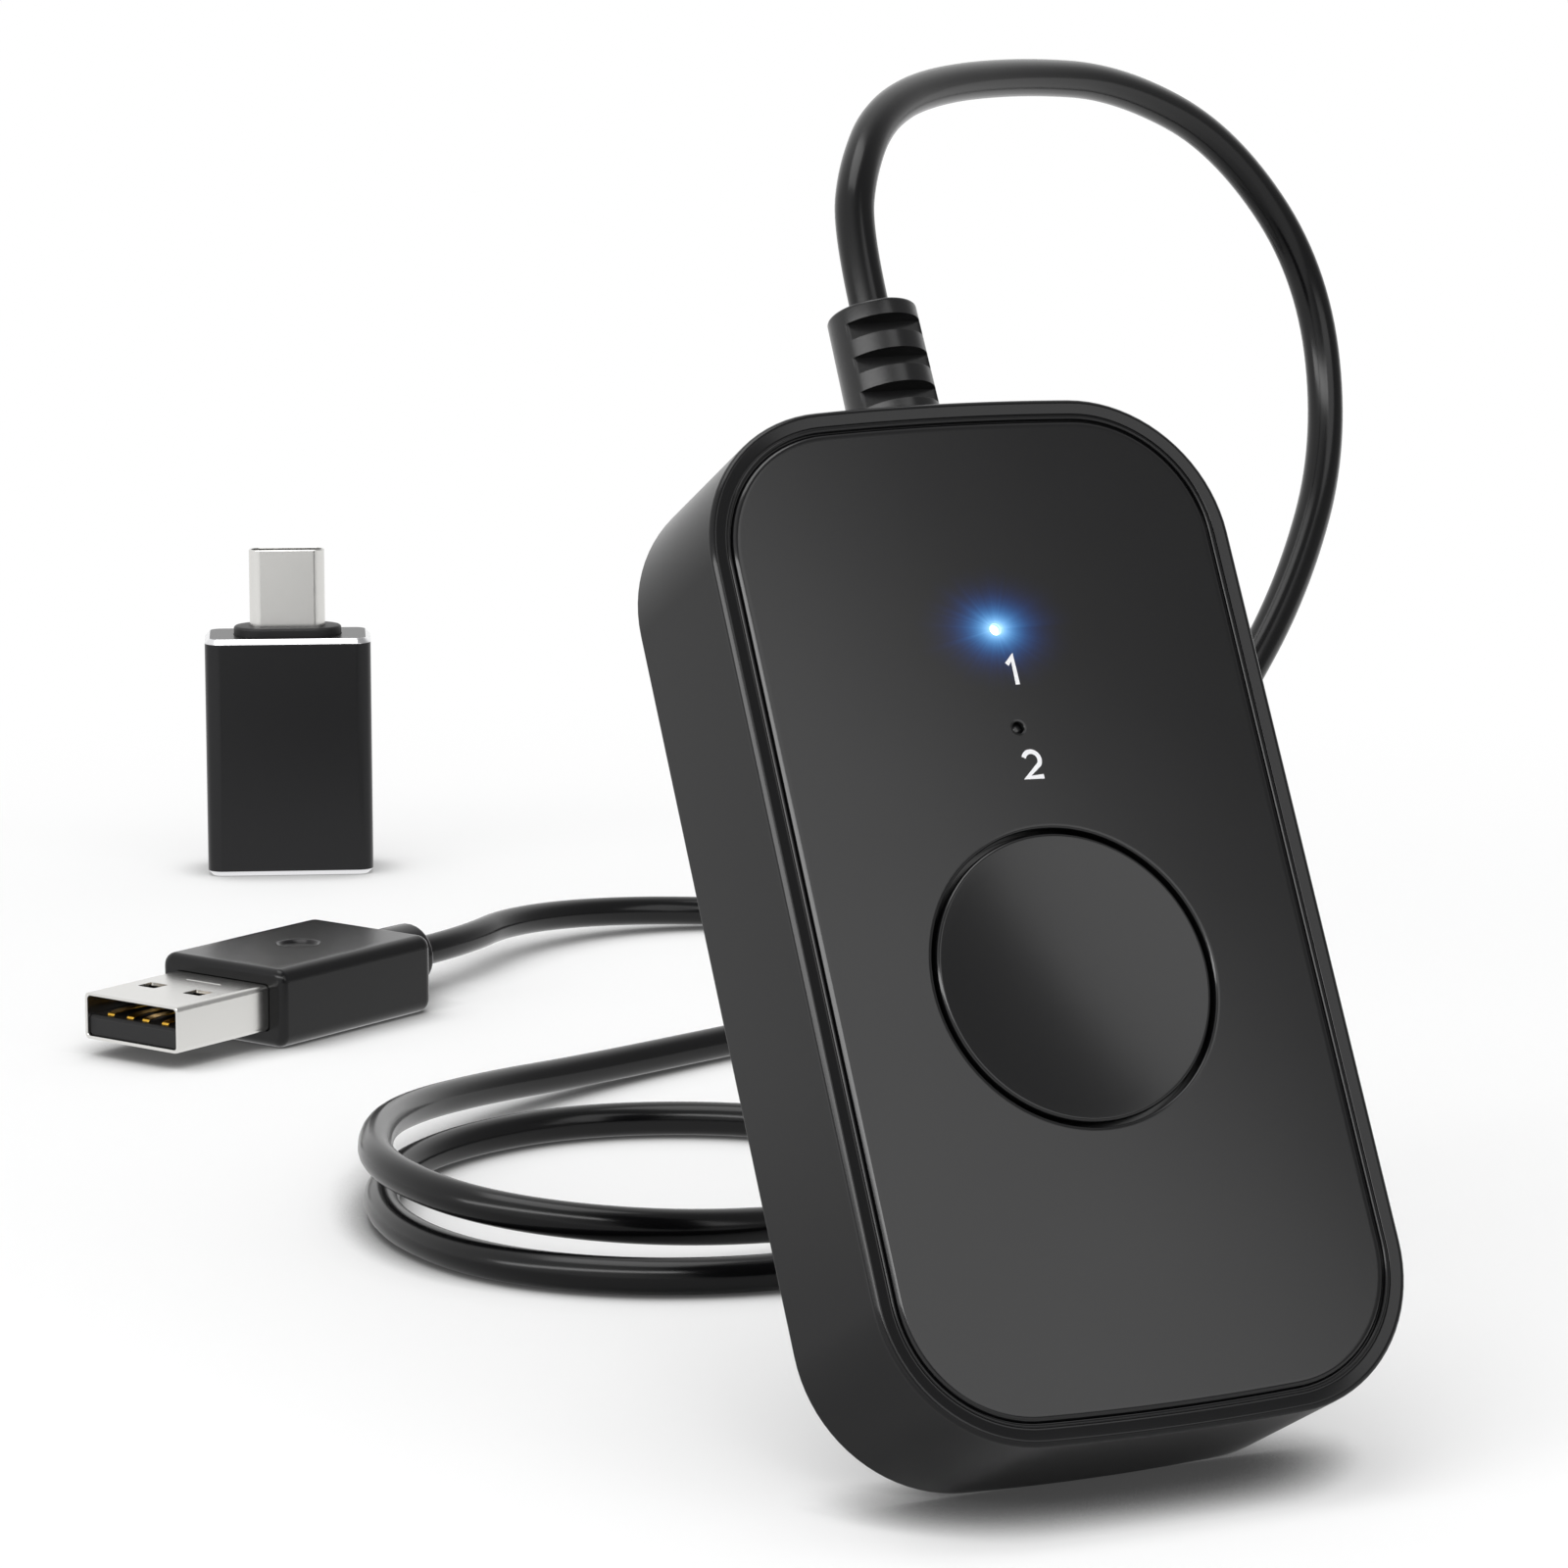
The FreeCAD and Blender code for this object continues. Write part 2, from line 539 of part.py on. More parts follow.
def cord_stub():
    """The jacket's end inside the housing."""
    y = BODY_L / 2 - WALL - BOOT_FLANGE_T
    return Part.makeCylinder(CORD_D / 2, STUB_L, V(0, y, LEAD_Z), V(0, -1, 0))


def lead_wires():
    """Four insulated leads that fan out from the jacket's end to the header."""
    y0 = BODY_L / 2 - WALL - BOOT_FLANGE_T - STUB_L
    y1 = HEADER_Y + HEADER_L / 2 - 1.2
    z, tight = LEAD_Z, 0.9
    wires = []
    for i, x in enumerate(wire_places()):
        near = (i - 1.5) * tight
        step = (y0 - y1) / 3
        points = [V(near, y0, z), V(near, y0 - step, z), V(x, y1 + step, z), V(x, y1, z)]
        wires.append(tube(points, WIRE_R)[0])
    return group(wires)


# ---- cord ------------------------------------------------------------------------------------
def arc_at(before, at, after):
    """The tangent arc at a point of the route: its ends, its middle and its radius."""
    back, on = before - at, after - at
    cut = ARC_SHARE * min(back.Length, on.Length)
    back.normalize()
    on.normalize()
    half_turn = (math.pi - back.getAngle(on)) / 2
    radius = cut / math.tan(half_turn)
    inward = (back + on).normalize()
    middle = at + inward * (cut / math.sin(half_turn) - radius)
    return at + back * cut, middle, at + on * cut, radius


def rounded_path(points, first, last):
    """Straight runs and arcs from the middle of one run to the middle of another.

    The runs are numbered from 0. The first and the last run are taken whole.
    """
    start = points[0] if first == 0 else (points[first] + points[first + 1]) / 2
    end = points[-1] if last == len(points) - 2 else (points[last] + points[last + 1]) / 2
    edges, radii = [], []
    for i in range(first + 1, last + 1):
        a, middle, b, radius = arc_at(*points[i - 1:i + 2])
        edges += [Part.makeLine(start, a), Part.Arc(a, middle, b).toShape()]
        radii.append(radius)
        start = b
    edges.append(Part.makeLine(start, end))
    return Part.Wire(edges), radii


def tube(points, radius, first=0, last=None):
    path, radii = rounded_path(points, first, len(points) - 2 if last is None else last)
    start, towards = path.Edges[0].Vertexes[0].Point, points[first + 1]
    ring = Part.Wire(Part.makeCircle(radius, start, towards - start))
    return path.makePipeShell([ring], True, False), path.Length, radii


def cord_route():
    """The whole route, its ends square to the strain relief and to the plug's collar."""
    lean, plug = housing_placement(), plug_placement()
    out = BODY_L / 2 + BOOT_L
    back = -SHELL_OUT - MOULD_L - COLLAR_OUT
    start = [lean.multVec(V(0, out, LEAD_Z)), lean.multVec(V(0, out + FIRST_RUN, LEAD_Z))]
    end = [plug.multVec(V(back - LAST_RUN, 0, MOULD_H / 2)), plug.multVec(V(back, 0, MOULD_H / 2))]
    return start + [V(*p) for p in RISE + LOOPS + TAIL] + end


def cords():
    """Three lengths of one tube, which meet face to face halfway along a run."""
    points = cord_route()
    join_a = 1 + len(RISE)
    join_b = join_a + len(LOOPS)
    spans = {"cord_rise": (0, join_a), "cord_loops": (join_a, join_b),
             "cord_tail": (join_b, len(points) - 2)}
    solids = {}
    for name, (first, last) in spans.items():
        solid, length, radii = tube(points, CORD_D / 2, first, last)
        ideal = math.pi * (CORD_D / 2) ** 2 * length
        print("%s: length %.1f, volume over section times length %.4f, arc radii %s"
              % (name, length, solid.Volume / ideal, " ".join("%.1f" % r for r in radii)))
        solids[name] = solid
    return solids


# ---- plug ------------------------------------------------------------------------------------
def flat_tube(width, height, wall, radius, x0, x1, z):
    """A drawn shell along x with rounded corners."""
    def bar(w, h, r):
        solid = box(x0, x1, -w / 2, w / 2, z - h / 2, z + h / 2)
        along = [e for e in solid.Edges if abs(e.BoundBox.XLength - (x1 - x0)) < 1e-6]
        return solid.makeFillet(r, along)
    return bar(width, height, radius).cut(bar(width - 2 * wall, height - 2 * wall, radius - wall / 2))


def plug_overmould():
    low, high = -SHELL_OUT - MOULD_L, -SHELL_OUT
    body = box(low, high, -MOULD_W / 2, MOULD_W / 2, 0, MOULD_H)
    along = [e for e in body.Edges if abs(e.BoundBox.XLength - MOULD_L) < 1e-6]
    body = body.makeFillet(MOULD_ROUND, along)
    ends = [e for e in body.Edges if e.BoundBox.XLength < 1e-6]
    body = body.makeFillet(MOULD_EDGE, ends)
    z = MOULD_H / 2
    collar = Part.makeCylinder(COLLAR_R, COLLAR_OUT + 1, V(low + 1, 0, z), V(-1, 0, 0))
    rim = [e for e in collar.Edges if e.BoundBox.XMax < low - COLLAR_OUT + 1e-4]
    body = body.fuse(collar.makeFillet(COLLAR_ROUND, rim))
    gap = MOULD_GAP
    pocket = box(high - SHELL_IN - gap, high + 1, -SHELL_W / 2 - gap, SHELL_W / 2 + gap,
                 z - SHELL_H / 2 - gap, z + SHELL_H / 2 + gap)
    body = body.cut(pocket)
    dimple = disc(MARK_R, high - MOULD_L / 2, 0, MOULD_H - MARK_D, MOULD_H + 1)
    return body.cut(dimple).removeSplitter()


def plug_shell():
    """Folded steel shell with two latch windows on its top and two below."""
    z = MOULD_H / 2
    shell = flat_tube(SHELL_W, SHELL_H, SHELL_T, SHELL_R, -SHELL_OUT - SHELL_IN, 0, z)
    for sy in (-1, 1):
        y = sy * WINDOW_Y
        window = box(-WINDOW_X - WINDOW_L / 2, -WINDOW_X + WINDOW_L / 2,
                     y - WINDOW_W / 2, y + WINDOW_W / 2, z - SHELL_H, z + SHELL_H)
        shell = shell.cut(window)
    return shell


def plug_tongue():
    """Insulator that fills the lower half of the shell and closes its rear end."""
    z0 = MOULD_H / 2 - SHELL_H / 2 + SHELL_T + TONGUE_GAP
    half = SHELL_W / 2 - SHELL_T - TONGUE_GAP
    top = MOULD_H / 2 + SHELL_H / 2 - SHELL_T - TONGUE_GAP
    rear, tip = -SHELL_OUT - SHELL_IN, -TONGUE_BACK
    block = box(rear, tip, -half, half, z0, top)
    along = [e for e in block.Edges if e.BoundBox.XLength > tip - rear - 1e-6]
    block = block.makeFillet(SHELL_R - SHELL_T / 2, along)
    return block.cut(box(-SHELL_OUT, 1, -SHELL_W, SHELL_W, z0 + TONGUE_H, top + 1))


def plug_contacts():
    """Four strips on the tongue, bowed up a little towards their ends."""
    z = MOULD_H / 2 - SHELL_H / 2 + SHELL_T + TONGUE_GAP + TONGUE_H
    strips = []
    for y in CONTACT_Y:
        strip = box(-CONTACT_BACK - CONTACT_L, -CONTACT_BACK, y - CONTACT_W / 2, y + CONTACT_W / 2,
                    z, z + CONTACT_T)
        front = [e for e in strip.Edges if e.BoundBox.XMin > -CONTACT_BACK - 1e-4
                 and e.BoundBox.ZMin > z + CONTACT_T - 1e-4 and e.BoundBox.YLength > CONTACT_W / 2]
        strips.append(strip.makeChamfer(CONTACT_T * 0.6, front))
    return group(strips)


# ---- adapter ---------------------------------------------------------------------------------
def adapter_sleeve():
    """Extruded sleeve with bright chamfers at both ends, open below for the port."""
    body = rounded_box(SLEEVE_W, SLEEVE_D, 0, SLEEVE_H, SLEEVE_R)
    body = body.makeChamfer(SLEEVE_CHAMFER, edges_at(body, 0) + edges_at(body, SLEEVE_H))
    inside = rounded_box(SLEEVE_W - 2 * SLEEVE_T, SLEEVE_D - 2 * SLEEVE_T, -1,
                         SLEEVE_H - SLEEVE_ROOF, SLEEVE_R - SLEEVE_T / 2)
    mouth = rounded_box(NOSE_W, NOSE_D, SLEEVE_H - SLEEVE_ROOF - 1, SLEEVE_H + 1, NOSE_D / 2 - 0.1)
    return body.cut(inside).cut(mouth)


def adapter_nose():
    """The moulded collar that the small plug stands in."""
    gap = FIT_GAP
    body = rounded_box(NOSE_W - 2 * gap, NOSE_D - 2 * gap, SLEEVE_H - NOSE_IN, SLEEVE_H + NOSE_H,
                       NOSE_D / 2 - 0.1 - gap)
    return body.cut(oval(TYPEC_W + 2 * gap, TYPEC_H + 2 * gap, SLEEVE_H - NOSE_IN, SLEEVE_H + 2))


def oval(width, height, z0, z1):
    """A prism with half-round ends, upright."""
    r = height / 2
    mid = box(-width / 2 + r, width / 2 - r, -r, r, z0, z1)
    return mid.fuse(disc(r, -width / 2 + r, 0, z0, z1)).fuse(
        disc(r, width / 2 - r, 0, z0, z1)).removeSplitter()


def adapter_plug_shell():
    low, high = SLEEVE_H - NOSE_IN, SLEEVE_H + NOSE_H + TYPEC_OUT
    shell = oval(TYPEC_W, TYPEC_H, low, high)
    return shell.cut(oval(TYPEC_W - 2 * TYPEC_T, TYPEC_H - 2 * TYPEC_T, low - 1, high + 1))


def adapter_plug_lining():
    """The moulding inside the small shell, slotted for the mating tongue."""
    low, high = SLEEVE_H - NOSE_IN, SLEEVE_H + NOSE_H + TYPEC_OUT - TYPEC_BACK
    inset = TYPEC_T + FIT_GAP
    lining = oval(TYPEC_W - 2 * inset, TYPEC_H - 2 * inset, low, high)
    slot_w = TYPEC_W - 2 * inset - 2 * TYPEC_FILL
    slot_h = TYPEC_H - 2 * inset - 2 * TYPEC_FILL
    return lining.cut(box(-slot_w / 2, slot_w / 2, -slot_h / 2, slot_h / 2, low + NOSE_IN, high + 1))


def adapter_plug_contacts():
    """Two facing rows of thin strips in the slot."""
    high = SLEEVE_H + NOSE_H + TYPEC_OUT - TYPEC_BACK
    slot_h = TYPEC_H - 2 * (TYPEC_T + FIT_GAP) - 2 * TYPEC_FILL
    pitch = 0.5
    strips = []
    for i in range(TYPEC_PINS):
        x = (i - (TYPEC_PINS - 1) / 2) * pitch
        for sy in (-1, 1):
            y0, y1 = sorted((sy * slot_h / 2, sy * (slot_h / 2 - TYPEC_PIN_T)))
            strips.append(box(x - TYPEC_PIN_W / 2, x + TYPEC_PIN_W / 2, y0, y1, SLEEVE_H, high - 0.8))
    return group(strips)


def adapter_port_frame():
    """The moulding that carries the port's shell in the sleeve."""
    gap = FIT_GAP
    body = rounded_box(SLEEVE_W - 2 * (SLEEVE_T + gap), SLEEVE_D - 2 * (SLEEVE_T + gap), PORT_SUNK,
                       SLEEVE_H - NOSE_IN - gap, SLEEVE_R - SLEEVE_T / 2)
    hole_w, hole_d = PORT_W + 2 * (PORT_T + gap), PORT_H + 2 * (PORT_T + gap)
    return body.cut(box(-hole_w / 2, hole_w / 2, -hole_d / 2, hole_d / 2, -1, PORT_SUNK + PORT_DEEP))


def adapter_port_shell():
    outer_w, outer_d = PORT_W + 2 * PORT_T, PORT_H + 2 * PORT_T
    shell = rounded_box(outer_w, outer_d, PORT_SUNK, PORT_SUNK + PORT_DEEP, PORT_T + 0.1)
    return shell.cut(box(-PORT_W / 2, PORT_W / 2, -PORT_H / 2, PORT_H / 2, -1,
                         PORT_SUNK + PORT_DEEP + 1))


def blade_y():
    """The port's tongue lies off its middle, so that a plug goes in one way round."""
    return PORT_H / 2 - BLADE_T - 0.4


def adapter_port_blade():
    """The tongue of the port with the block that closes the shell behind it."""
    top = PORT_SUNK + PORT_DEEP
    block = 3.0
    blade = box(-BLADE_W / 2, BLADE_W / 2, blade_y(), blade_y() + BLADE_T, BLADE_BACK, top)
    rear = box(-PORT_W / 2 + FIT_GAP, PORT_W / 2 - FIT_GAP, -PORT_H / 2 + FIT_GAP,
               PORT_H / 2 - FIT_GAP, top - block, top)
    return blade.fuse(rear).removeSplitter()


def adapter_port_contacts():
    """Four strips on the blade's inner face."""
    top = PORT_SUNK + PORT_DEEP - 3.0
    return group([box(x - CONTACT_W / 2, x + CONTACT_W / 2, blade_y() - CONTACT_T, blade_y(),
                      top - PORT_PIN_L, top) for x in CONTACT_Y])


# ---- all together ----------------------------------------------------------------------------
def main():
    os.makedirs("parts", exist_ok=True)
    nodes = {}
    lean, plug, stand = housing_placement(), plug_placement(), adapter_placement()
    in_housing = {
        "housing_shell": housing_shell(), "face_panel": face_panel(), "button_cap": button_cap(),
        "rear_cover": rear_cover(), "cover_screws": cover_screws(),
        "circuit_board": circuit_board(), "board_screws": board_screws(),
        "switch_body": switch_body(), "switch_plate": switch_plate(),
        "switch_plunger": switch_plunger(), "switch_legs": switch_legs(),
        "upper_led": indicator_led(LIGHT_Y[0]), "lower_led": indicator_led(LIGHT_Y[1]),
        "upper_light_guide": light_guide(LIGHT_Y[0]), "lower_light_guide": light_guide(LIGHT_Y[1]),
        "microcontroller": microcontroller(), "crystal": crystal(),
        "chip_resistors": small_parts(RESISTOR_SPOTS),
        "chip_capacitors": small_parts(CAPACITOR_SPOTS),
        "wire_header": wire_header(), "lead_wires": lead_wires(), "cord_stub": cord_stub(),
        "strain_relief": strain_relief()}
    at_plug = {"plug_overmould": plug_overmould(), "plug_shell": plug_shell(),
               "plug_tongue": plug_tongue(), "plug_contacts": plug_contacts()}
    at_adapter = {
        "adapter_sleeve": adapter_sleeve(), "adapter_nose": adapter_nose(),
        "adapter_plug_shell": adapter_plug_shell(), "adapter_plug_lining": adapter_plug_lining(),
        "adapter_plug_contacts": adapter_plug_contacts(),
        "adapter_port_frame": adapter_port_frame(), "adapter_port_shell": adapter_port_shell(),
        "adapter_port_blade": adapter_port_blade(),
        "adapter_port_contacts": adapter_port_contacts()}
    for placement, made in ((lean, in_housing), (plug, at_plug), (stand, at_adapter)):
        for name, shape in made.items():
            nodes[name] = placed(shape, placement)
    nodes.update(cords())
    for name, shape in nodes.items():
        shape.exportStep("parts/" + name + ".step")
        print("%-24s solids %d valid %s volume %.1f" % (name, len(shape.Solids), shape.isValid(),
                                                        shape.Volume))


def placed(shape, placement):
    moved = shape.copy()
    moved.Placement = placement.multiply(shape.Placement)
    return moved


main()
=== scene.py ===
"""Looks of a wired mouse jiggler: a leaning box with a round button, its cord, plug and adapter.

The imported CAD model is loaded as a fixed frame. Each piece is modelled in millimetres in the frame
of what it belongs to, and is placed once:
  housing  x across, y up the length, z out of the face; z = 0 is the highest line of the front rim
  plug     x forward with the tip at 0, y across, z up from the surface it lies on
  adapter  x across, y back, z up from the surface it stands on
"""

import math

import bmesh
import bpy
from mathutils import Matrix, Vector


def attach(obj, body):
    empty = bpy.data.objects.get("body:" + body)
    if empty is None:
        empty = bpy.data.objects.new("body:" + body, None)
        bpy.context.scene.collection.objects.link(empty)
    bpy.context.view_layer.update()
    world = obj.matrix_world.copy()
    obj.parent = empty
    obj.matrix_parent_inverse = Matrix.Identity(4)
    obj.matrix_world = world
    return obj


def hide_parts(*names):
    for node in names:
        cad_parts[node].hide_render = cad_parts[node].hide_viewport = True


bl_info = {
    "name": "Mouse jiggler",
    "version": (1, 0, 0),
    "blender": (4, 5, 0),
    "location": "View3D > Sidebar > Jiggler",
    "description": "Builds the visible pieces of a wired mouse jiggler over its CAD frame",
    "category": "Object",
}

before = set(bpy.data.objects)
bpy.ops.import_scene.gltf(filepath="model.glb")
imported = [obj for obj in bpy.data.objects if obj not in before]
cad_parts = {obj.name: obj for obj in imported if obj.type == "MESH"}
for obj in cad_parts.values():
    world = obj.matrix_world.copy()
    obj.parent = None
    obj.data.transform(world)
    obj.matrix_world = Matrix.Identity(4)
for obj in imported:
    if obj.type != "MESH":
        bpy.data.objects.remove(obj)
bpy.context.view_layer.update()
MM = 0.001
PLAY = 0.05               # mm, between pieces that all but touch

# ---- how finely curves are divided ----
CORNER_STEPS, END_STEPS = 20, 10     # a corner and half an end of the housing's outline
ROUND_STEPS = 8           # a quarter round
FINE_STEPS, EDGE_STEPS = 3, 2        # quarter rounds that only catch the light
RING_STEPS = 96           # a whole turn
PIN_STEPS = 24            # a whole turn of a light pin and its hole
CUT_STEPS = 4             # a corner of a small cut-out
ADAPTER_STEPS = 12        # a corner of the adapter's outlines

# ---- housing, in mm ----
CORNER_R = 11.25
END_CROWN = 0.95          # how far each end bows out over the width
WALL = 1.6
REAR_ROUND = 0.5
RIM_W = 1.22
RIM_ROUND = 0.45
RIM_FALL = 0.1            # how far the rim slopes down towards the face
RIM_EDGE = 0.1
GROOVE_W, GROOVE_D = 0.1, 0.22       # fine groove between the rim and the bead beside the face
BEAD_TOP = 0.1            # bead's crest below the rim plane
BEAD_R = 0.12
GAP_FLOOR = 0.4           # lip that closes the gap beside the face
LIP_GAP = 0.01
LEDGE_W, LEDGE_T = 1.4, 1.2
REBATE_W = 0.8
COVER_T = 1.6
PANEL_T = 1.6
PANEL_GAP = 0.1
PANEL_ROUND = 0.5
FLAT_RING = 0.12          # flat ring beside a round edge, which keeps the shading of flats clean
LIGHT_DOWN = (17.8, 25.4)            # the two indicator holes, from the upper end
LIGHT_HOLE_R, LIGHT_HOLE_ROUND = 0.45, 0.08
LABEL_AT = ((0.75, 17.75), (0.45, 10.5))     # middles of the two numerals
LABEL_WEIGHT = 0.16       # stroke width of the numerals as a share of their height
LABEL_MITRE = 0.5         # least cosine of half a bend, which keeps sharp corners short
BOWL_STEPS = 13
INK_T = 0.012

# ---- painted glow over the face round the lit hole: the face itself emits it ----
FLARE_REACH = 5.0         # mm, where it ends
FLARE_STRETCH = 1.3       # across over along
PAINTED_FLARE_GLOW = {"Red": (1.1, 0.42), "Green": (1.6, 0.66), "Blue": (2.1, 1.0)}  # level and spread of the painted glow
FLARE_POINTS = (-0.36, 1.18)         # how the star's points draw the reach out and in

# ---- button, in mm ----
BUTTON_Y = -5.44
BUTTON_GAP = 0.35
HOLE_ROUND = 0.2
BUTTON_DISH = 0.45
DISH_STEPS = 12
BUTTON_ROUND = 0.3
FLANGE_W, FLANGE_T = 1.2, 0.9
FLANGE_PLAY = 0.15
BUTTON_SKIN = 1.3
STEM_R = 2.2
STEM_END = -4.6

# ---- light pins, in mm ----
PIN_R = 1.0
PIN_LOW = -8.35
PIN_TIP = ((0.4, -0.4), (0.3, -0.33), (0.15, -0.3), (0, -0.29))   # radius and height
GLOW_EDGE = (0.15, 0.45)  # from the tip's core, where the glow turns from white to its edge tone

# ---- board and its parts, in mm ----
BOARD_MIDDLE = -10.2
BOARD_CORE = 0.55         # half the board's thickness, less the mask
BOARD_END_GAP = 8.7
CHIP_UP = 5.5
CHIP_HALF = 2.15          # half the chip's body, across its rows of pins
TRACE_CELL, TRACE_PITCH, TRACE_W = 5.0, 0.55, 0.16
TRACE_BARE = 0.35         # share of the cells without copper runs
FAN = (28.2, 29.7)        # where the wires fan out, along the length
FAN_APART = (1.6, 0.9)    # from the middle to between two wires, before and after

# ---- strain relief, in mm ----
LEAD_Z = -7.9
BOOT_R, BOOT_TIP_R, BOOT_L = 3.5, 3.4, 10.4
BOOT_ROUND = 0.3
BOOT_STEPS = 72
BOOT_FLANGE = 1.5         # inside the wall
NECK_R, NECK_GAP = 2.5, 0.1
SLOT_COUNT = 3
SLOT_H, SLOT_FLOOR = 1.35, 1.5
SLOT_PITCH, SLOT_FIRST = 2.73, 2.0

# ---- cord: the route's points, in mm ----
LIE_Z = 1.55
RISE = [(1.9, 41.9, 91.0), (6.4, 47.2, 94.8), (14.3, 54.2, 96.5), (27.7, 63.8, 96.5),
        (40.7, 71.4, 95.3), (53.7, 76.3, 90.0), (62.9, 76.8, 78.5), (62.5, 72.4, 64.2),
        (55.0, 66.0, 52.7), (45.2, 61.0, 42.9), (36.5, 58.3, 31.6), (29.9, 56.7, 18.3),
        (21.6, 55.6, 6.2)]
LOOPS = [(8.0, 55.8, LIE_Z), (-7.2, 58.8, LIE_Z), (-17.7, 68.9, LIE_Z), (-20.3, 83.8, LIE_Z),
         (-15.9, 98.2, LIE_Z), (-5.6, 109.2, LIE_Z), (8.7, 113.3, LIE_Z), (22.7, 107.9, LIE_Z),
         (32.2, 95.8, LIE_Z), (33.2, 80.7, LIE_Z), (24.2, 68.9, 2.1), (9.9, 64.6, 3.0),
         (-5.8, 63.6, 4.4), (-17.9, 70.9, 5.8), (-20.9, 85.4, 6.5), (-15.2, 100.0, 5.9),
         (-7.0, 113.0, 4.3), (4.0, 122.5, 3.0), (16.9, 129.6, 1.9)]
TAIL = [(30.4, 135.3, LIE_Z), (44.3, 140.0, LIE_Z), (58.1, 145.3, LIE_Z), (70.1, 153.9, LIE_Z),
        (77.0, 167.2, LIE_Z), (75.4, 182.1, LIE_Z), (65.4, 193.5, LIE_Z), (50.8, 197.4, 2.3),
        (36.6, 192.0, 3.4)]
FIRST_RUN, LAST_RUN = 6.8, 8.0

# ---- plug, in mm ----
PLUG_TIP, PLUG_TURN = (-16.4, 159.2), -152.6
SHELL_W, SHELL_H, SHELL_T = 12.0, 4.5, 0.3
SHELL_OUT, SHELL_IN = 12.8, 5.0
SHELL_R = 0.5
SHELL_EDGE = 0.06
SHELL_STEPS = 5
SHELL_BORDER = 0.3
WINDOW_W, WINDOW_L, WINDOW_R = 2.2, 2.0, 0.25
WINDOW_X, WINDOW_Y = 6.2, 2.9
SEAM_X = 10.2             # pressed crease across the sleeve, behind the windows
SEAM_L, SEAM_W, SEAM_H = 4.4, 0.16, 0.035
SEAM_CREST = ((0, -0.02), (0.02, SEAM_H * 0.7), (0.06, SEAM_H))    # inset and height
SEAM_DOT_R, SEAM_DOT_STEPS = 0.17, 16
MOULD_W, MOULD_H, MOULD_L = 15.8, 7.7, 22.2
MOULD_ROUND = 1.3
MOULD_FRONT, MOULD_REAR = 0.8, 1.2   # rounding of the grip's front and rear edges
MOULD_STEPS = 6
MOULD_BORDER = 0.8
POCKET_PLAY = 0.1         # round the sleeve
POCKET_EDGE = (0.05, 0.08)           # depth and widening of the pocket's mouth
MARK_R, MARK_D = 2.0, 0.3
MARK_SOFT, MARK_DROP, MARK_WALL = 0.15, 0.09, 0.2    # soft edge's width and drop, inner slope
MARK_STEPS = 48
COLLAR_R, COLLAR_OUT = 3.2, 6.0
COLLAR_ROOT, COLLAR_ROUND = 0.35, 0.8
CORD_HOLE_R, CORD_HOLE_D = 1.5, 1.0
TONGUE_H, TONGUE_BACK = 1.95, 0.35
TONGUE_CUT, TONGUE_FOOT = 0.3, 0.25
CONTACT_Y = (-3.5, -1.0, 1.0, 3.5)
CONTACT_T, CONTACT_HALF = 0.12, 0.5
CONTACT_TIP, CONTACT_TAPER = -1.3, 0.08      # ahead of the tip line a strip is narrower
CONTACT_PATH = ((-0.95, 0.02), (-1.05, 0.14), (-1.7, 0.24), (-2.6, 0.3), (-4.8, 0.24),
                (-7.5, 0.08), (-9.6, 0.02))  # along the plug, and up from the tongue

# ---- adapter, in mm ----
ADAPTER_AT, ADAPTER_TURN = (33.0, 246.0), -21.0
SLEEVE_W, SLEEVE_D, SLEEVE_H = 18.3, 9.6, 26.5
SLEEVE_R = 1.7
SLEEVE_CHAMFER = 0.55
SLEEVE_T, SLEEVE_ROOF = 1.1, 1.6
NOSE_W, NOSE_D, NOSE_H = 12.0, 6.2, 0.95
NOSE_IN = 1.6
NOSE_ROUND, NOSE_STEPS = 0.3, 4
TYPEC_W, TYPEC_H, TYPEC_T = 8.34, 2.56, 0.25
TYPEC_OUT = 8.5
TYPEC_EDGE = 0.08
OVAL_APART = 0.001        # between the points where two quarter rounds join

# ---- finishes ----
ABS_FLOW, ABS_WANDER = 14.0, 0.015   # mm of one drift in the plastic's roughness, and how far
ABS_GRAIN_D = 0.01        # mm, how deep its grain is
STEEL_LINES = (0.3, 0.3, 1.5)        # lines along the draw, per mm on each axis
TIN_GRAIN = 0.15          # mm
END_FACING = 0.7          # least cosine between an end face's normal and the housing's length
SHARP, SOFTENED = math.radians(38), math.radians(35)     # least bends of hard and bevelled edges

# ---- stage ----
CAMERA_AT = (-0.19457, -0.35274, 0.12050)
CAMERA_TILT, CAMERA_TURN = 9.866, 25.746     # degrees
CAMERA_LENS = 133.35
CAMERA_SENSOR = 36
LAMPS = {                 # place, aim, size and roll in degrees
    "key": ((0.425, -1.805, 1.235), (0, 0, 0.045), (1.6, 1.6), 20),
    "left": ((-0.75, -0.45, 0.62), (0, 0.03, 0.04), (1.9, 0.22), 19),
    "top": ((-0.2, 0.3, 2.0), (0, 0.03, 0.04), (1.2, 1.2), 0)}
LEFT_LEVEL, TOP_LEVEL = 4.9, 2.0
LAMP_SPREAD = 4           # a face's brightness is the lamp's energy over 4 times its area
FLOOR_SEEN = 0.3          # share of the floor's brightness that shadows don't reach
FLOOR_FADE = ((20, 90, 0), 100, 270)     # where the floor fades to white: middle, start, end, mm
MIRRORED_FADE = ((10, 20, 0), 40, 150)   # the same, as seen in gloss
CONTACT_REACH = 0.006     # metres, how far off a piece still darkens the paper under it with painted contact shade
PAINTED_CONTACT_SHADE = 0.15      # what is left of the paper's tone under the painted contact shade, where a piece closes it in
CONTACT_OPEN = (0.3, 0.9)            # openness of the paper with the full painted shade and with none
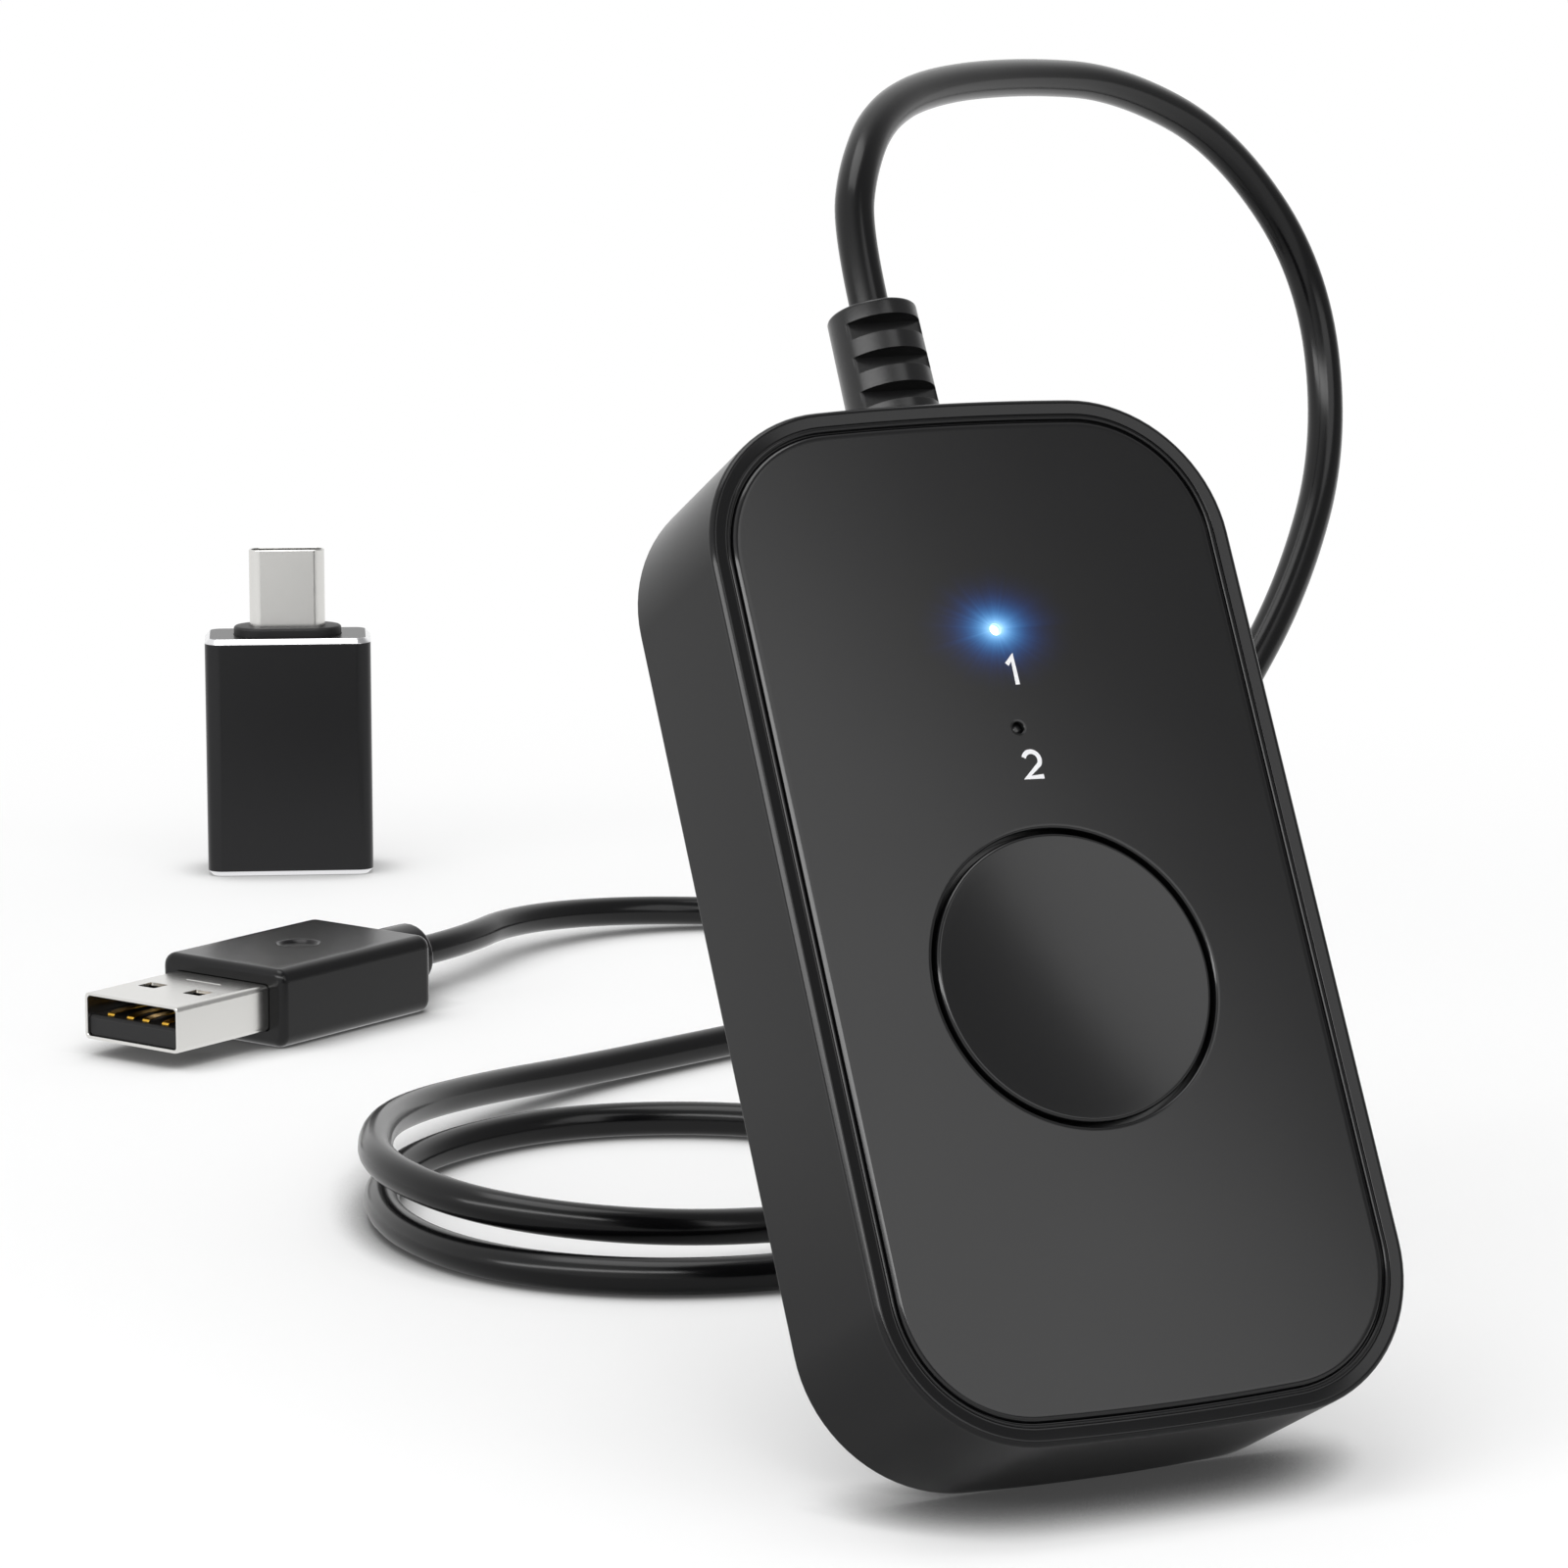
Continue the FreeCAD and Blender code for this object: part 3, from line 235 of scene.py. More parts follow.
ROOM_WAY = (0.6, -0.7, 0.4)          # towards the dim side of the surroundings
ROOM_LEVEL = 0.38
ROOM_EDGE = (0.1, 0.7)    # where it starts and ends dimming, as a cosine to that side
AMBIENT = 0.6             # what the surroundings give to matt surfaces


# ---- settings that a user would change ----
class HousingSettings(bpy.types.PropertyGroup):
    width: bpy.props.FloatProperty(
        name="Width", description="Housing across", default=0.0422, unit="LENGTH")
    length: bpy.props.FloatProperty(
        name="Length", description="Housing over its bowed ends", default=0.0776, unit="LENGTH")
    thickness: bpy.props.FloatProperty(
        name="Thickness", description="From the rear plane to the rim", default=0.0148,
        unit="LENGTH")
    lean: bpy.props.FloatProperty(
        name="Lean", description="How far the housing leans back from upright",
        default=math.radians(28.2), subtype="ANGLE")
    button_hole: bpy.props.FloatProperty(
        name="Button hole", description="Radius of the button's hole", default=0.01115,
        unit="LENGTH")
    label_height: bpy.props.FloatProperty(
        name="Label height", description="Height of the printed numerals", default=0.0022,
        unit="LENGTH")


class CordSettings(bpy.types.PropertyGroup):
    diameter: bpy.props.FloatProperty(
        name="Diameter", description="Over the jacket", default=0.003, unit="LENGTH")
    length: bpy.props.FloatProperty(
        name="Length", description="From the strain relief to the plug", default=0.611,
        unit="LENGTH")


class FinishSettings(bpy.types.PropertyGroup):
    plastic: bpy.props.StringProperty(
        name="Plastic", description="Housing, panel and button, as an sRGB hex value",
        default="#0C0C0D")
    rubber: bpy.props.StringProperty(
        name="Rubber", description="Plug and strain relief, as an sRGB hex value",
        default="#0D0D0E")
    ink: bpy.props.StringProperty(
        name="Ink", description="Printed numerals, as an sRGB hex value", default="#DADADC")
    light: bpy.props.StringProperty(
        name="Light", description="Lit indicator's edge, as an sRGB hex value", default="#7FB4FF")


class StageSettings(bpy.types.PropertyGroup):
    floor_radius: bpy.props.FloatProperty(
        name="Floor radius", description="Reach of the pale floor", default=3.0, unit="LENGTH")
    key_level: bpy.props.FloatProperty(
        name="Key light", description="Brightness of the large lamp's face", default=1.22)


# ---- places ----
def housing_sizes():
    """Width, length and thickness in mm."""
    housing = bpy.context.scene.jiggler_housing
    return housing.width / MM, housing.length / MM, housing.thickness / MM


def light_y(which):
    """Height of an indicator hole up the housing's length: 0 for the upper one, 1 for the lower."""
    return housing_sizes()[1] / 2 - LIGHT_DOWN[which]


def housing_place():
    """From the housing's own frame in mm to the shared frame in metres."""
    lean = bpy.context.scene.jiggler_housing.lean
    length, thickness = housing_sizes()[1:]
    turn = Matrix.Rotation(math.pi / 2 - lean, 4, "X")
    foot = Vector((0, -length / 2 + REAR_ROUND * (1 - math.cos(lean)),
                   -thickness + REAR_ROUND * (1 - math.sin(lean))))
    return Matrix.Scale(MM, 4) @ Matrix.Translation(-(turn @ foot)) @ turn


def standing_place(at, degrees):
    """From the frame in mm of what stands at a spot on the surface, turned about z, to metres."""
    turn = Matrix.Rotation(math.radians(degrees), 4, "Z")
    return Matrix.Scale(MM, 4) @ Matrix.Translation((*at, 0)) @ turn


PLUG_PLACE = standing_place(PLUG_TIP, PLUG_TURN)
ADAPTER_PLACE = standing_place(ADAPTER_AT, ADAPTER_TURN)


# ---- mesh code ----
def arc(centre, radius, start, end, steps):
    """Points of an arc from one angle to another."""
    angles = [start + (end - start) * i / steps for i in range(steps + 1)]
    return [(centre[0] + radius * math.cos(a), centre[1] + radius * math.sin(a)) for a in angles]


def outline(inset, z):
    """The housing's outline: straight sides, bowed ends and round corners, all offset inwards."""
    width, length = housing_sizes()[:2]
    half_w, half_l = width / 2, length / 2
    end_r = (half_w ** 2 + END_CROWN ** 2) / (2 * END_CROWN)
    end_y = half_l - end_r
    corner_x = half_w - CORNER_R
    corner_y = end_y + math.sqrt((end_r - CORNER_R) ** 2 - corner_x ** 2)
    meet = math.atan2(corner_y - end_y, corner_x)
    quarter = arc((corner_x, corner_y), CORNER_R - inset, 0, meet, CORNER_STEPS)
    quarter += arc((0, end_y), end_r - inset, meet, math.pi / 2, END_STEPS)[1:]
    upper = quarter + [(-x, y) for x, y in reversed(quarter[:-1])]
    return [(x, y, z) for x, y in upper] + [(-x, -y, z) for x, y in upper]


def rounded_rect(width, height, radius, steps):
    """Points of a rounded oblong about the origin, the same count for any size."""
    points = []
    for k, (sx, sy) in enumerate(((1, 1), (-1, 1), (-1, -1), (1, -1))):
        centre = (sx * (width / 2 - radius), sy * (height / 2 - radius))
        points += arc(centre, radius, math.pi / 2 * k, math.pi / 2 * (k + 1), steps)
    return points


def circle(radius, count, centre=(0, 0), start=0.0):
    return arc(centre, radius, start, start + 2 * math.pi, count)[:-1]


def quarter_round(start, end, bulge, steps=ROUND_STEPS):
    """Points of a quarter round between two profile points; bulge is the corner it replaces."""
    points = []
    for i in range(steps + 1):
        a = math.pi / 2 * i / steps
        u, v = 1 - math.cos(a), math.sin(a)
        points.append((start[0] + (end[0] - bulge[0]) * u + (bulge[0] - start[0]) * v,
                       start[1] + (end[1] - bulge[1]) * u + (bulge[1] - start[1]) * v))
    return points


def loop(bm, points):
    return [bm.verts.new(p) for p in points]


def level_loop(bm, points, z):
    """A flat outline at height z."""
    return loop(bm, [(x, y, z) for x, y in points])


def cross_loop(bm, points, x):
    """An outline across the plug at x, about the plug's axis."""
    return loop(bm, [(x, y, MOULD_H / 2 + h) for y, h in points])


def skin(bm, loops, closed=False, skip=()):
    """Faces from each loop to the next. A loop may be one point; skip names sides left open."""
    pairs = list(zip(loops, loops[1:]))
    if closed:
        pairs.append((loops[-1], loops[0]))
    made = []
    for a, b in pairs:
        count = max(len(a), len(b))
        for i in range(count):
            j = (i + 1) % count
            corners = (a[i % len(a)], a[j % len(a)], b[j % len(b)], b[i % len(b)])
            if i not in skip:
                made.append(bm.faces.new(tuple(dict.fromkeys(corners))))
    return made


def fill(bm, *loops):
    """Closes a flat region; the first loop is its edge and the others are holes in it."""
    edges = []
    for ring in loops:
        for i, vert in enumerate(ring):
            on = ring[(i + 1) % len(ring)]
            edges.append(bm.edges.get((vert, on)) or bm.edges.new((vert, on)))
    bmesh.ops.triangle_fill(bm, edges=edges, use_beauty=True, use_dissolve=False)


def flat_border(bm, corners, width):
    """A flat strip inside four corners, which keeps the shading of a pierced flat clean."""
    inner = []
    for i, corner in enumerate(corners):
        along = [(corners[k % 4].co - corner.co).normalized() * width for k in (i - 1, i + 1)]
        inner.append(bm.verts.new(corner.co + along[0] + along[1]))
    skin(bm, [corners, inner])
    return inner


def lathe(bm, profile, y, count=RING_STEPS):
    """Turns a profile of (radius, height) about an upright axis at y; a radius of 0 closes it."""
    skin(bm, [level_loop(bm, circle(radius, count if radius else 1, (0, y)), z)
              for radius, z in profile])


def add_object(name, data):
    thing = bpy.data.objects.new(name, data)
    bpy.context.collection.objects.link(thing)
    return thing


def add_piece(name, bm, place, materials, body="fixed", stands_for=(), bevel=0.0):
    """Turns a mesh in mm into a placed piece that rides on its body and stands for its nodes."""
    bmesh.ops.recalc_face_normals(bm, faces=bm.faces)
    mesh = bpy.data.meshes.new(name)
    bm.to_mesh(mesh)
    bm.free()
    mesh.transform(place)
    mesh.shade_smooth()
    mesh.set_sharp_from_angle(angle=SHARP)
    for material in materials:
        mesh.materials.append(material)
    piece = add_object(name, mesh)
    if bevel:
        soften = piece.modifiers.new("Softened edges", "BEVEL")
        soften.width = bevel * MM
        soften.segments = 2
        soften.limit_method = "ANGLE"
        soften.angle_limit = SOFTENED
    flats = piece.modifiers.new("Flat faces stay flat", "WEIGHTED_NORMAL")
    flats.weight = 100
    flats.keep_sharp = True
    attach(piece, body)
    if stands_for:
        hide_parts(*stands_for)


# ---- material code ----
def linear(hex_value):
    """An sRGB hex value as linear RGBA."""
    parts = [int(hex_value.lstrip("#")[i:i + 2], 16) / 255 for i in (0, 2, 4)]
    return [p / 12.92 if p <= 0.04045 else ((p + 0.055) / 1.055) ** 2.4 for p in parts] + [1.0]


def add_node(tree, kind, inputs=(), **settings):
    """Adds a shader node with its properties set, and returns its outputs.

    Its inputs are given in order, or by name, and each is a value or a socket to link.
    """
    made = tree.nodes.new("ShaderNode" + kind)
    for name, value in settings.items():
        setattr(made, name, value)
    for name, value in inputs.items() if isinstance(inputs, dict) else enumerate(inputs):
        if isinstance(value, bpy.types.NodeSocket):
            tree.links.new(value, made.inputs[name])
        else:
            made.inputs[name].default_value = value
    return made.outputs


def new_material(name):
    """A material, its empty node tree, and the object's own coordinates in mm."""
    material = bpy.data.materials.new(name)
    material.use_nodes = True
    tree = material.node_tree
    tree.nodes.clear()
    place = add_node(tree, "TexCoord")["Object"]
    in_mm = add_node(tree, "VectorMath", {0: place, "Scale": 1 / MM}, operation="SCALE")
    return material, tree, in_mm["Vector"]


def in_housing(tree, in_mm):
    """A point in the housing's own frame, in mm."""
    place = housing_place()
    return add_node(tree, "Mapping", {"Vector": in_mm, "Location": place.translation / MM,
                                      "Rotation": place.to_euler()},
                    vector_type="TEXTURE")["Vector"]


def speckled(name, colour, roughness, grain, more=None, detail=2.0, relief=None):
    """One colour, with grains of a size in mm in its roughness or in a relief.

    Without a relief the roughness is a range. A relief is a strength and a depth in mm, and more
    holds the shader's other values.
    """
    material, tree, in_mm = new_material(name)
    grains = add_node(tree, "TexNoise", {"Vector": in_mm, "Scale": 1 / grain,
                                         "Detail": detail})["Fac"]
    inputs = {"Base Color": linear(colour), "Roughness": roughness, **(more or {})}
    if relief:
        inputs["Normal"] = add_node(tree, "Bump", {
            "Height": grains, "Strength": relief[0], "Distance": relief[1] * MM})["Normal"]
    else:
        inputs["Roughness"] = add_node(tree, "MapRange", {
            "Value": grains, "To Min": roughness[0], "To Max": roughness[1]})["Result"]
    add_node(tree, "OutputMaterial", [add_node(tree, "BsdfPrincipled", inputs)["BSDF"]])
    return material


# ---- materials ----
def abs_gloss(tree, in_mm, roughness, specular=0.45, grain=0.25, strength=0.03):
    """ABS moulded against a finely blasted steel tool: satin, with a faint grain in its gloss.

    The grain is drawn coarser than such a tool leaves it, so that it shows.
    """
    flow = add_node(tree, "TexNoise", {"Vector": in_mm, "Scale": 1 / ABS_FLOW, "Detail": 1.0})
    grains = add_node(tree, "TexNoise", {"Vector": in_mm, "Scale": 1 / grain})
    sheen = add_node(tree, "MapRange", {"Value": flow["Fac"], "To Min": roughness - ABS_WANDER,
                                        "To Max": roughness + ABS_WANDER})
    relief = add_node(tree, "Bump", {"Height": grains["Fac"], "Strength": strength,
                                     "Distance": ABS_GRAIN_D * MM})
    return add_node(tree, "BsdfPrincipled", {
        "Base Color": linear(bpy.context.scene.jiggler_finish.plastic), "Normal": relief["Normal"],
        "Roughness": sheen["Result"], "Specular IOR Level": specular})["BSDF"]


def moulded_abs(name, roughness, **more):
    """Moulded ABS as a material of its own."""
    material, tree, in_mm = new_material(name)
    add_node(tree, "OutputMaterial", [abs_gloss(tree, in_mm, roughness, **more)])
    return material


def painted_glow_panel():
    """Satin ABS round a lit indicator, with a painted glow: the face emits a soft star that stands
    in for the indicator's light flaring out over the grain.
    """
    material, tree, in_mm = new_material("Moulded ABS face with painted glow")
    away = add_node(tree, "VectorMath", (in_housing(tree, in_mm), (0, light_y(0), 0)),
                    operation="SUBTRACT")["Vector"]
    across, along, _ = add_node(tree, "SeparateXYZ", [away])
    flat = add_node(tree, "VectorMath", (away, (1 / FLARE_STRETCH, 1, 0)), operation="MULTIPLY")
    reach = add_node(tree, "VectorMath", [flat["Vector"]], operation="LENGTH")["Value"]
    angle = add_node(tree, "Math", (along, across), operation="ARCTAN2")[0]
    points = add_node(tree, "TexNoise", {"W": angle, "Scale": 3.2, "Detail": 4.0,
                                         "Roughness": 0.75}, noise_dimensions="1D")["Fac"]
    points = add_node(tree, "Math", (points, *FLARE_POINTS), operation="MULTIPLY_ADD")[0]
    reach = add_node(tree, "Math", (reach, points), operation="MULTIPLY")[0]
    end = add_node(tree, "MapRange", {"Value": reach, "From Max": FLARE_REACH, "To Min": 1.0,
                                      "To Max": 0.0})["Result"]
    glow = {}
    for colour, (level, spread) in PAINTED_FLARE_GLOW.items():
        fall = add_node(tree, "Math", (math.exp(-1 / spread), reach), operation="POWER")[0]
        for factor in (end, level):
            fall = add_node(tree, "Math", (fall, factor), operation="MULTIPLY")[0]
        glow[colour] = fall
    # painted glow: this light is emitted by the face itself, in place of the indicator's flare
    painted_flare = add_node(tree, "Emission", {
        "Color": add_node(tree, "CombineColor", glow)["Color"], "Strength": 1.0})["Emission"]
    whole = add_node(tree, "AddShader", (abs_gloss(tree, in_mm, 0.135), painted_flare))["Shader"]
    add_node(tree, "OutputMaterial", [whole])
    return material


def soft_elastomer(name, roughness, specular):
    """Thermoplastic elastomer moulded over the cord: duller than the housing, with a fine drag."""
    return speckled(name, bpy.context.scene.jiggler_finish.rubber, roughness, 0.3,
                    {"Specular IOR Level": specular}, detail=3.0, relief=(0.15, 0.02))


def extruded_jacket():
    """PVC jacket drawn through a die: smooth and glossy, with a faint waviness along its length."""
    return speckled("Extruded PVC jacket", "#060607", 0.2, 2.5, {"Specular IOR Level": 0.3},
                    detail=1.0, relief=(0.1, 0.05))


def anodised():
    """Aluminium, bead-blasted and dyed black in the anodising bath: a soft, even, dark sheen."""
    return speckled("Black anodised aluminium", "#2A2A2B", 0.3, 0.2, {"Metallic": 0.8},
                    relief=(0.2, 0.01))


def cut_aluminium():
    """Aluminium cut with a diamond tool after dyeing: bare, bright, with fine turning lines."""
    return speckled("Diamond-cut aluminium", "#E4E4E6", (0.12, 0.2), 0.5, {"Metallic": 1.0},
                    detail=1.0)


def plated_steel():
    """Nickel-plated steel sheet, drawn and folded: satin, with faint lines along the draw."""
    material, tree, in_mm = new_material("Nickel-plated steel sheet")
    drawn = add_node(tree, "VectorMath", (in_mm, STEEL_LINES), operation="MULTIPLY")["Vector"]
    lines = add_node(tree, "TexNoise", {"Vector": drawn, "Scale": 1.0})["Fac"]
    satin = add_node(tree, "MapRange", {"Value": lines, "To Min": 0.22, "To Max": 0.26})["Result"]
    steel = add_node(tree, "BsdfPrincipled", {"Base Color": linear("#DAD9D6"), "Metallic": 1.0,
                                              "Roughness": satin})["BSDF"]
    add_node(tree, "OutputMaterial", [steel])
    return material


def gold_plate():
    """Gold over phosphor bronze, stamped: bright and warm."""
    return speckled("Gold-plated bronze", "#F0BC4A", (0.18, 0.3), 0.8, {"Metallic": 1.0})


def insulator(name, colour):
    """Glass-filled nylon: dark, dull, with short fibres that break up its gloss."""
    return speckled(name, colour, (0.4, 0.55), 0.25, {"Specular IOR Level": 0.35}, detail=3.0)


def printed_ink():
    """Two-part pad-printing ink: opaque pale grey, half matt, a little thin at its edges."""
    return speckled("Pad-printed ink", bpy.context.scene.jiggler_finish.ink, (0.45, 0.6), 0.2)


def lit_acrylic():
    """Clear acrylic with a light under it: white at its core, blue at its edge."""
    material, tree, in_mm = new_material("Lit acrylic")
    core = housing_place() @ Vector((0, light_y(0), PIN_TIP[2][1])) / MM
    away = add_node(tree, "VectorMath", (in_mm, core), operation="DISTANCE")["Value"]
    tone = add_node(tree, "MapRange", {"Value": away, "From Min": GLOW_EDGE[0],
                                       "From Max": GLOW_EDGE[1]})
    glow = add_node(tree, "Mix", {
        "Factor": tone["Result"], "A": linear("#FFFFFF"),
        "B": linear(bpy.context.scene.jiggler_finish.light)}, data_type="RGBA")["Result"]
    add_node(tree, "OutputMaterial", [add_node(tree, "BsdfPrincipled", {
        "Base Color": linear("#DDE8FF"), "Roughness": 0.1, "IOR": 1.49, "Emission Color": glow,
        "Emission Strength": 6.0})["BSDF"]])
    return material


def dark_acrylic():
    """Clear acrylic over an unlit indicator, drawn opaque: its near-black colour is painted shade
    for the dark below it.
    """
    return speckled("Clear acrylic", "#0B0B0D", (0.08, 0.16), 0.5, {"IOR": 1.49})


def indicator_resin(name, glow):
    """Cast resin over the indicator's chip, milky, lit from within by the given strength."""
    return speckled(name, "#DCD8C4", (0.15, 0.3), 0.6, {
        "Emission Color": linear(bpy.context.scene.jiggler_finish.light),
        "Emission Strength": glow})


def solder_mask():
    """Glass-epoxy board under green solder mask: copper runs show through, the edge is bare."""
    material, tree, in_mm = new_material("Solder-masked epoxy board")
    x, y, z = add_node(tree, "SeparateXYZ", [in_housing(tree, in_mm)])
    cell = add_node(tree, "TexVoronoi", {"Vector": in_mm, "Scale": 1 / TRACE_CELL,
                                         "Randomness": 0.6}, distance="CHEBYCHEV")["Color"]
    turn, here, _ = add_node(tree, "SeparateColor", [cell])
    sideways = add_node(tree, "Math", (turn, 0.5), operation="GREATER_THAN")[0]
    runs = [add_node(tree, "Math", (way, TRACE_PITCH), operation="PINGPONG")[0] for way in (y, x)]
    run = add_node(tree, "Mix", {"Factor": sideways, "A": runs[0], "B": runs[1]})["Result"]
    copper = add_node(tree, "Math", (run, TRACE_W), operation="LESS_THAN")[0]
    here = add_node(tree, "Math", (here, TRACE_BARE), operation="GREATER_THAN")[0]
    trace = add_node(tree, "Math", (copper, here), operation="MULTIPLY")[0]
    edge = add_node(tree, "Math", (z, BOARD_MIDDLE, BOARD_CORE), operation="COMPARE")[0]
    colour = linear("#0D4427")
    for factor, tone in ((trace, "#1C6B3D"), (edge, "#A59A62")):
        colour = add_node(tree, "Mix", {"Factor": factor, "A": colour, "B": linear(tone)},
                          data_type="RGBA")["Result"]
    add_node(tree, "OutputMaterial", [add_node(tree, "BsdfPrincipled", {
        "Base Color": colour, "Roughness": 0.32})["BSDF"]])
    return material


def tinned(name, colour, bright):
    """A dull body whose leads or ends are dipped in tin; bright builds the switch between them."""
    material, tree, in_mm = new_material(name)
    tin = bright(tree, in_mm)
    tone = add_node(tree, "Mix", {"Factor": tin, "A": linear(colour), "B": linear("#C9C8C4")},
                    data_type="RGBA")["Result"]
    grains = add_node(tree, "TexNoise", {"Vector": in_mm, "Scale": 1 / TIN_GRAIN})["Fac"]
    rough = add_node(tree, "MapRange", {"Value": grains, "To Min": 0.3, "To Max": 0.5})["Result"]
    add_node(tree, "OutputMaterial", [add_node(tree, "BsdfPrincipled", {
        "Base Color": tone, "Metallic": tin, "Roughness": rough})["BSDF"]])
    return material


def beyond_chip_body(tree, in_mm):
    """1 on the chip's pins."""
    middle = CHIP_UP - housing_sizes()[1] / 2 + WALL + BOARD_END_GAP
    up = add_node(tree, "SeparateXYZ", [in_housing(tree, in_mm)])["Y"]
    body = add_node(tree, "Math", (up, middle, CHIP_HALF), operation="COMPARE")[0]
    return add_node(tree, "Math", (1.0, body), operation="SUBTRACT")[0]


def on_end_faces(tree, in_mm):
    """1 on the faces that look along the housing's length."""
    way = housing_place().to_3x3().normalized() @ Vector((0, 1, 0))
    normal = add_node(tree, "NewGeometry")["True Normal"]
    along = add_node(tree, "VectorMath", (normal, way), operation="DOT_PRODUCT")["Value"]
    along = add_node(tree, "Math", [along], operation="ABSOLUTE")[0]
    return add_node(tree, "Math", (along, END_FACING), operation="GREATER_THAN")[0]


def wire_insulation():
    """Four PVC-insulated wires side by side: red, white, green and black."""
    material, tree, in_mm = new_material("PVC wire insulation")
    x, y, _ = add_node(tree, "SeparateXYZ", [in_housing(tree, in_mm)])
    apart = add_node(tree, "MapRange", {"Value": y, "From Min": FAN[0], "From Max": FAN[1],
                                        "To Min": FAN_APART[0], "To Max": FAN_APART[1]})["Result"]
    off = add_node(tree, "Math", [x], operation="ABSOLUTE")[0]
    outer = add_node(tree, "Math", (off, apart), operation="GREATER_THAN")[0]
    right = add_node(tree, "Math", (x, 0.0), operation="GREATER_THAN")[0]
    pairs = [add_node(tree, "Mix", {"Factor": right, "A": linear(left_tone),
                                    "B": linear(right_tone)}, data_type="RGBA")["Result"]
             for left_tone, right_tone in (("#D6D4CC", "#1F7A3D"), ("#B0241E", "#151516"))]
    tone = add_node(tree, "Mix", {"Factor": outer, "A": pairs[0], "B": pairs[1]},
                    data_type="RGBA")["Result"]
    add_node(tree, "OutputMaterial", [add_node(tree, "BsdfPrincipled", {
        "Base Color": tone, "Roughness": 0.35})["BSDF"]])
    return material


# ---- housing ----
def build_housing():
    """Wall, sloping rim, bead, lip, ledge and rebate as one ring swept round the outline."""
    thickness = housing_sizes()[2]
    seat = -thickness + COVER_T
    ledge_low = -PANEL_T - LEDGE_T
    bead = RIM_W + GROOVE_W
    bead_low = -BEAD_TOP - BEAD_R
    lip = WALL + PANEL_GAP - LIP_GAP
    profile = [
        (REBATE_W, seat), (REBATE_W, -thickness),
        *quarter_round((REAR_ROUND, -thickness), (0, -thickness + REAR_ROUND), (0, -thickness)),
        *quarter_round((0, -RIM_ROUND), (RIM_ROUND, 0), (0, 0)),
        *quarter_round((RIM_W - RIM_EDGE, -RIM_FALL), (RIM_W, -RIM_FALL - RIM_EDGE),
                       (RIM_W, -RIM_FALL), EDGE_STEPS),
        (RIM_W, -GROOVE_D), (bead, -GROOVE_D),
        *quarter_round((bead, bead_low), (bead + BEAD_R, -BEAD_TOP), (bead, -BEAD_TOP), FINE_STEPS),
        *quarter_round((WALL - BEAD_R, -BEAD_TOP), (WALL, bead_low), (WALL, -BEAD_TOP), FINE_STEPS),
        (WALL, -GAP_FLOOR), (lip, -GAP_FLOOR), (lip, -PANEL_T), (WALL + LEDGE_W, -PANEL_T),
        (WALL + LEDGE_W, ledge_low), (WALL, ledge_low), (WALL, seat)]
    bm = bmesh.new()
    for face in skin(bm, [loop(bm, outline(inset, z)) for inset, z in profile], closed=True):
        face.material_index = int(face.calc_center_median().z > -RIM_ROUND)
    add_piece("housing", bm, housing_place(),
              [moulded_abs("Moulded ABS wall", 0.22, specular=0.1),
               moulded_abs("Moulded ABS rim", 0.15, specular=0.3)],
              stands_for=["housing_shell"])


def build_panel():
    """The inset face with its button hole and its two indicator holes."""
    edge = WALL + PANEL_GAP
    flat = edge + PANEL_ROUND
    profile = [(edge, -PANEL_T), *quarter_round((edge, -PANEL_ROUND), (flat, 0), (edge, 0)),
               (flat + FLAT_RING, 0)]
    bm = bmesh.new()
    rings = [[loop(bm, outline(inset, z)) for inset, z in profile]]
    holes = [(BUTTON_Y, bpy.context.scene.jiggler_housing.button_hole / MM, HOLE_ROUND, RING_STEPS)]
    holes += [(light_y(which), LIGHT_HOLE_R, LIGHT_HOLE_ROUND, PIN_STEPS) for which in (0, 1)]
    for y, radius, soft, count in holes:
        profile = [(radius, -PANEL_T), *quarter_round((radius, -soft), (radius + soft, 0),
                                                      (radius, 0), FINE_STEPS),
                   (radius + soft + FLAT_RING, 0)]
        rings.append([level_loop(bm, circle(r, count, (0, y)), z) for r, z in profile])
    for ring in rings:
        skin(bm, ring)
    fill(bm, *[ring[-1] for ring in rings])
    fill(bm, *[ring[0] for ring in rings])
    add_piece("face_plate", bm, housing_place(), [painted_glow_panel()],
              stands_for=["face_panel"])


def build_button():
    """A dished round cap, its keeper flange below the panel and the stem that works the switch."""
    radius = bpy.context.scene.jiggler_housing.button_hole / MM - BUTTON_GAP
    rim = radius - BUTTON_ROUND
    ball = (rim ** 2 + BUTTON_DISH ** 2) / (2 * BUTTON_DISH)
    across = [rim * i / DISH_STEPS for i in range(DISH_STEPS + 1)]
    flange_top = -PANEL_T - FLANGE_PLAY
    flange_low = flange_top - FLANGE_T
    under = -BUTTON_DISH - BUTTON_SKIN
    profile = [*[(r, ball - BUTTON_DISH - math.sqrt(ball ** 2 - r ** 2)) for r in across],
               *quarter_round((rim, 0), (radius, -BUTTON_ROUND), (radius, 0))[1:],
               (radius, flange_top), (radius + FLANGE_W, flange_top),
               (radius + FLANGE_W, flange_low), (radius - BUTTON_SKIN, flange_low),
               (radius - BUTTON_SKIN, under), (STEM_R, under), (STEM_R, STEM_END), (0, STEM_END)]
    bm = bmesh.new()
    lathe(bm, profile, BUTTON_Y)
    add_piece("button", bm, housing_place(), [moulded_abs("Moulded ABS button", 0.15)],
              body="button", stands_for=["button_cap"])


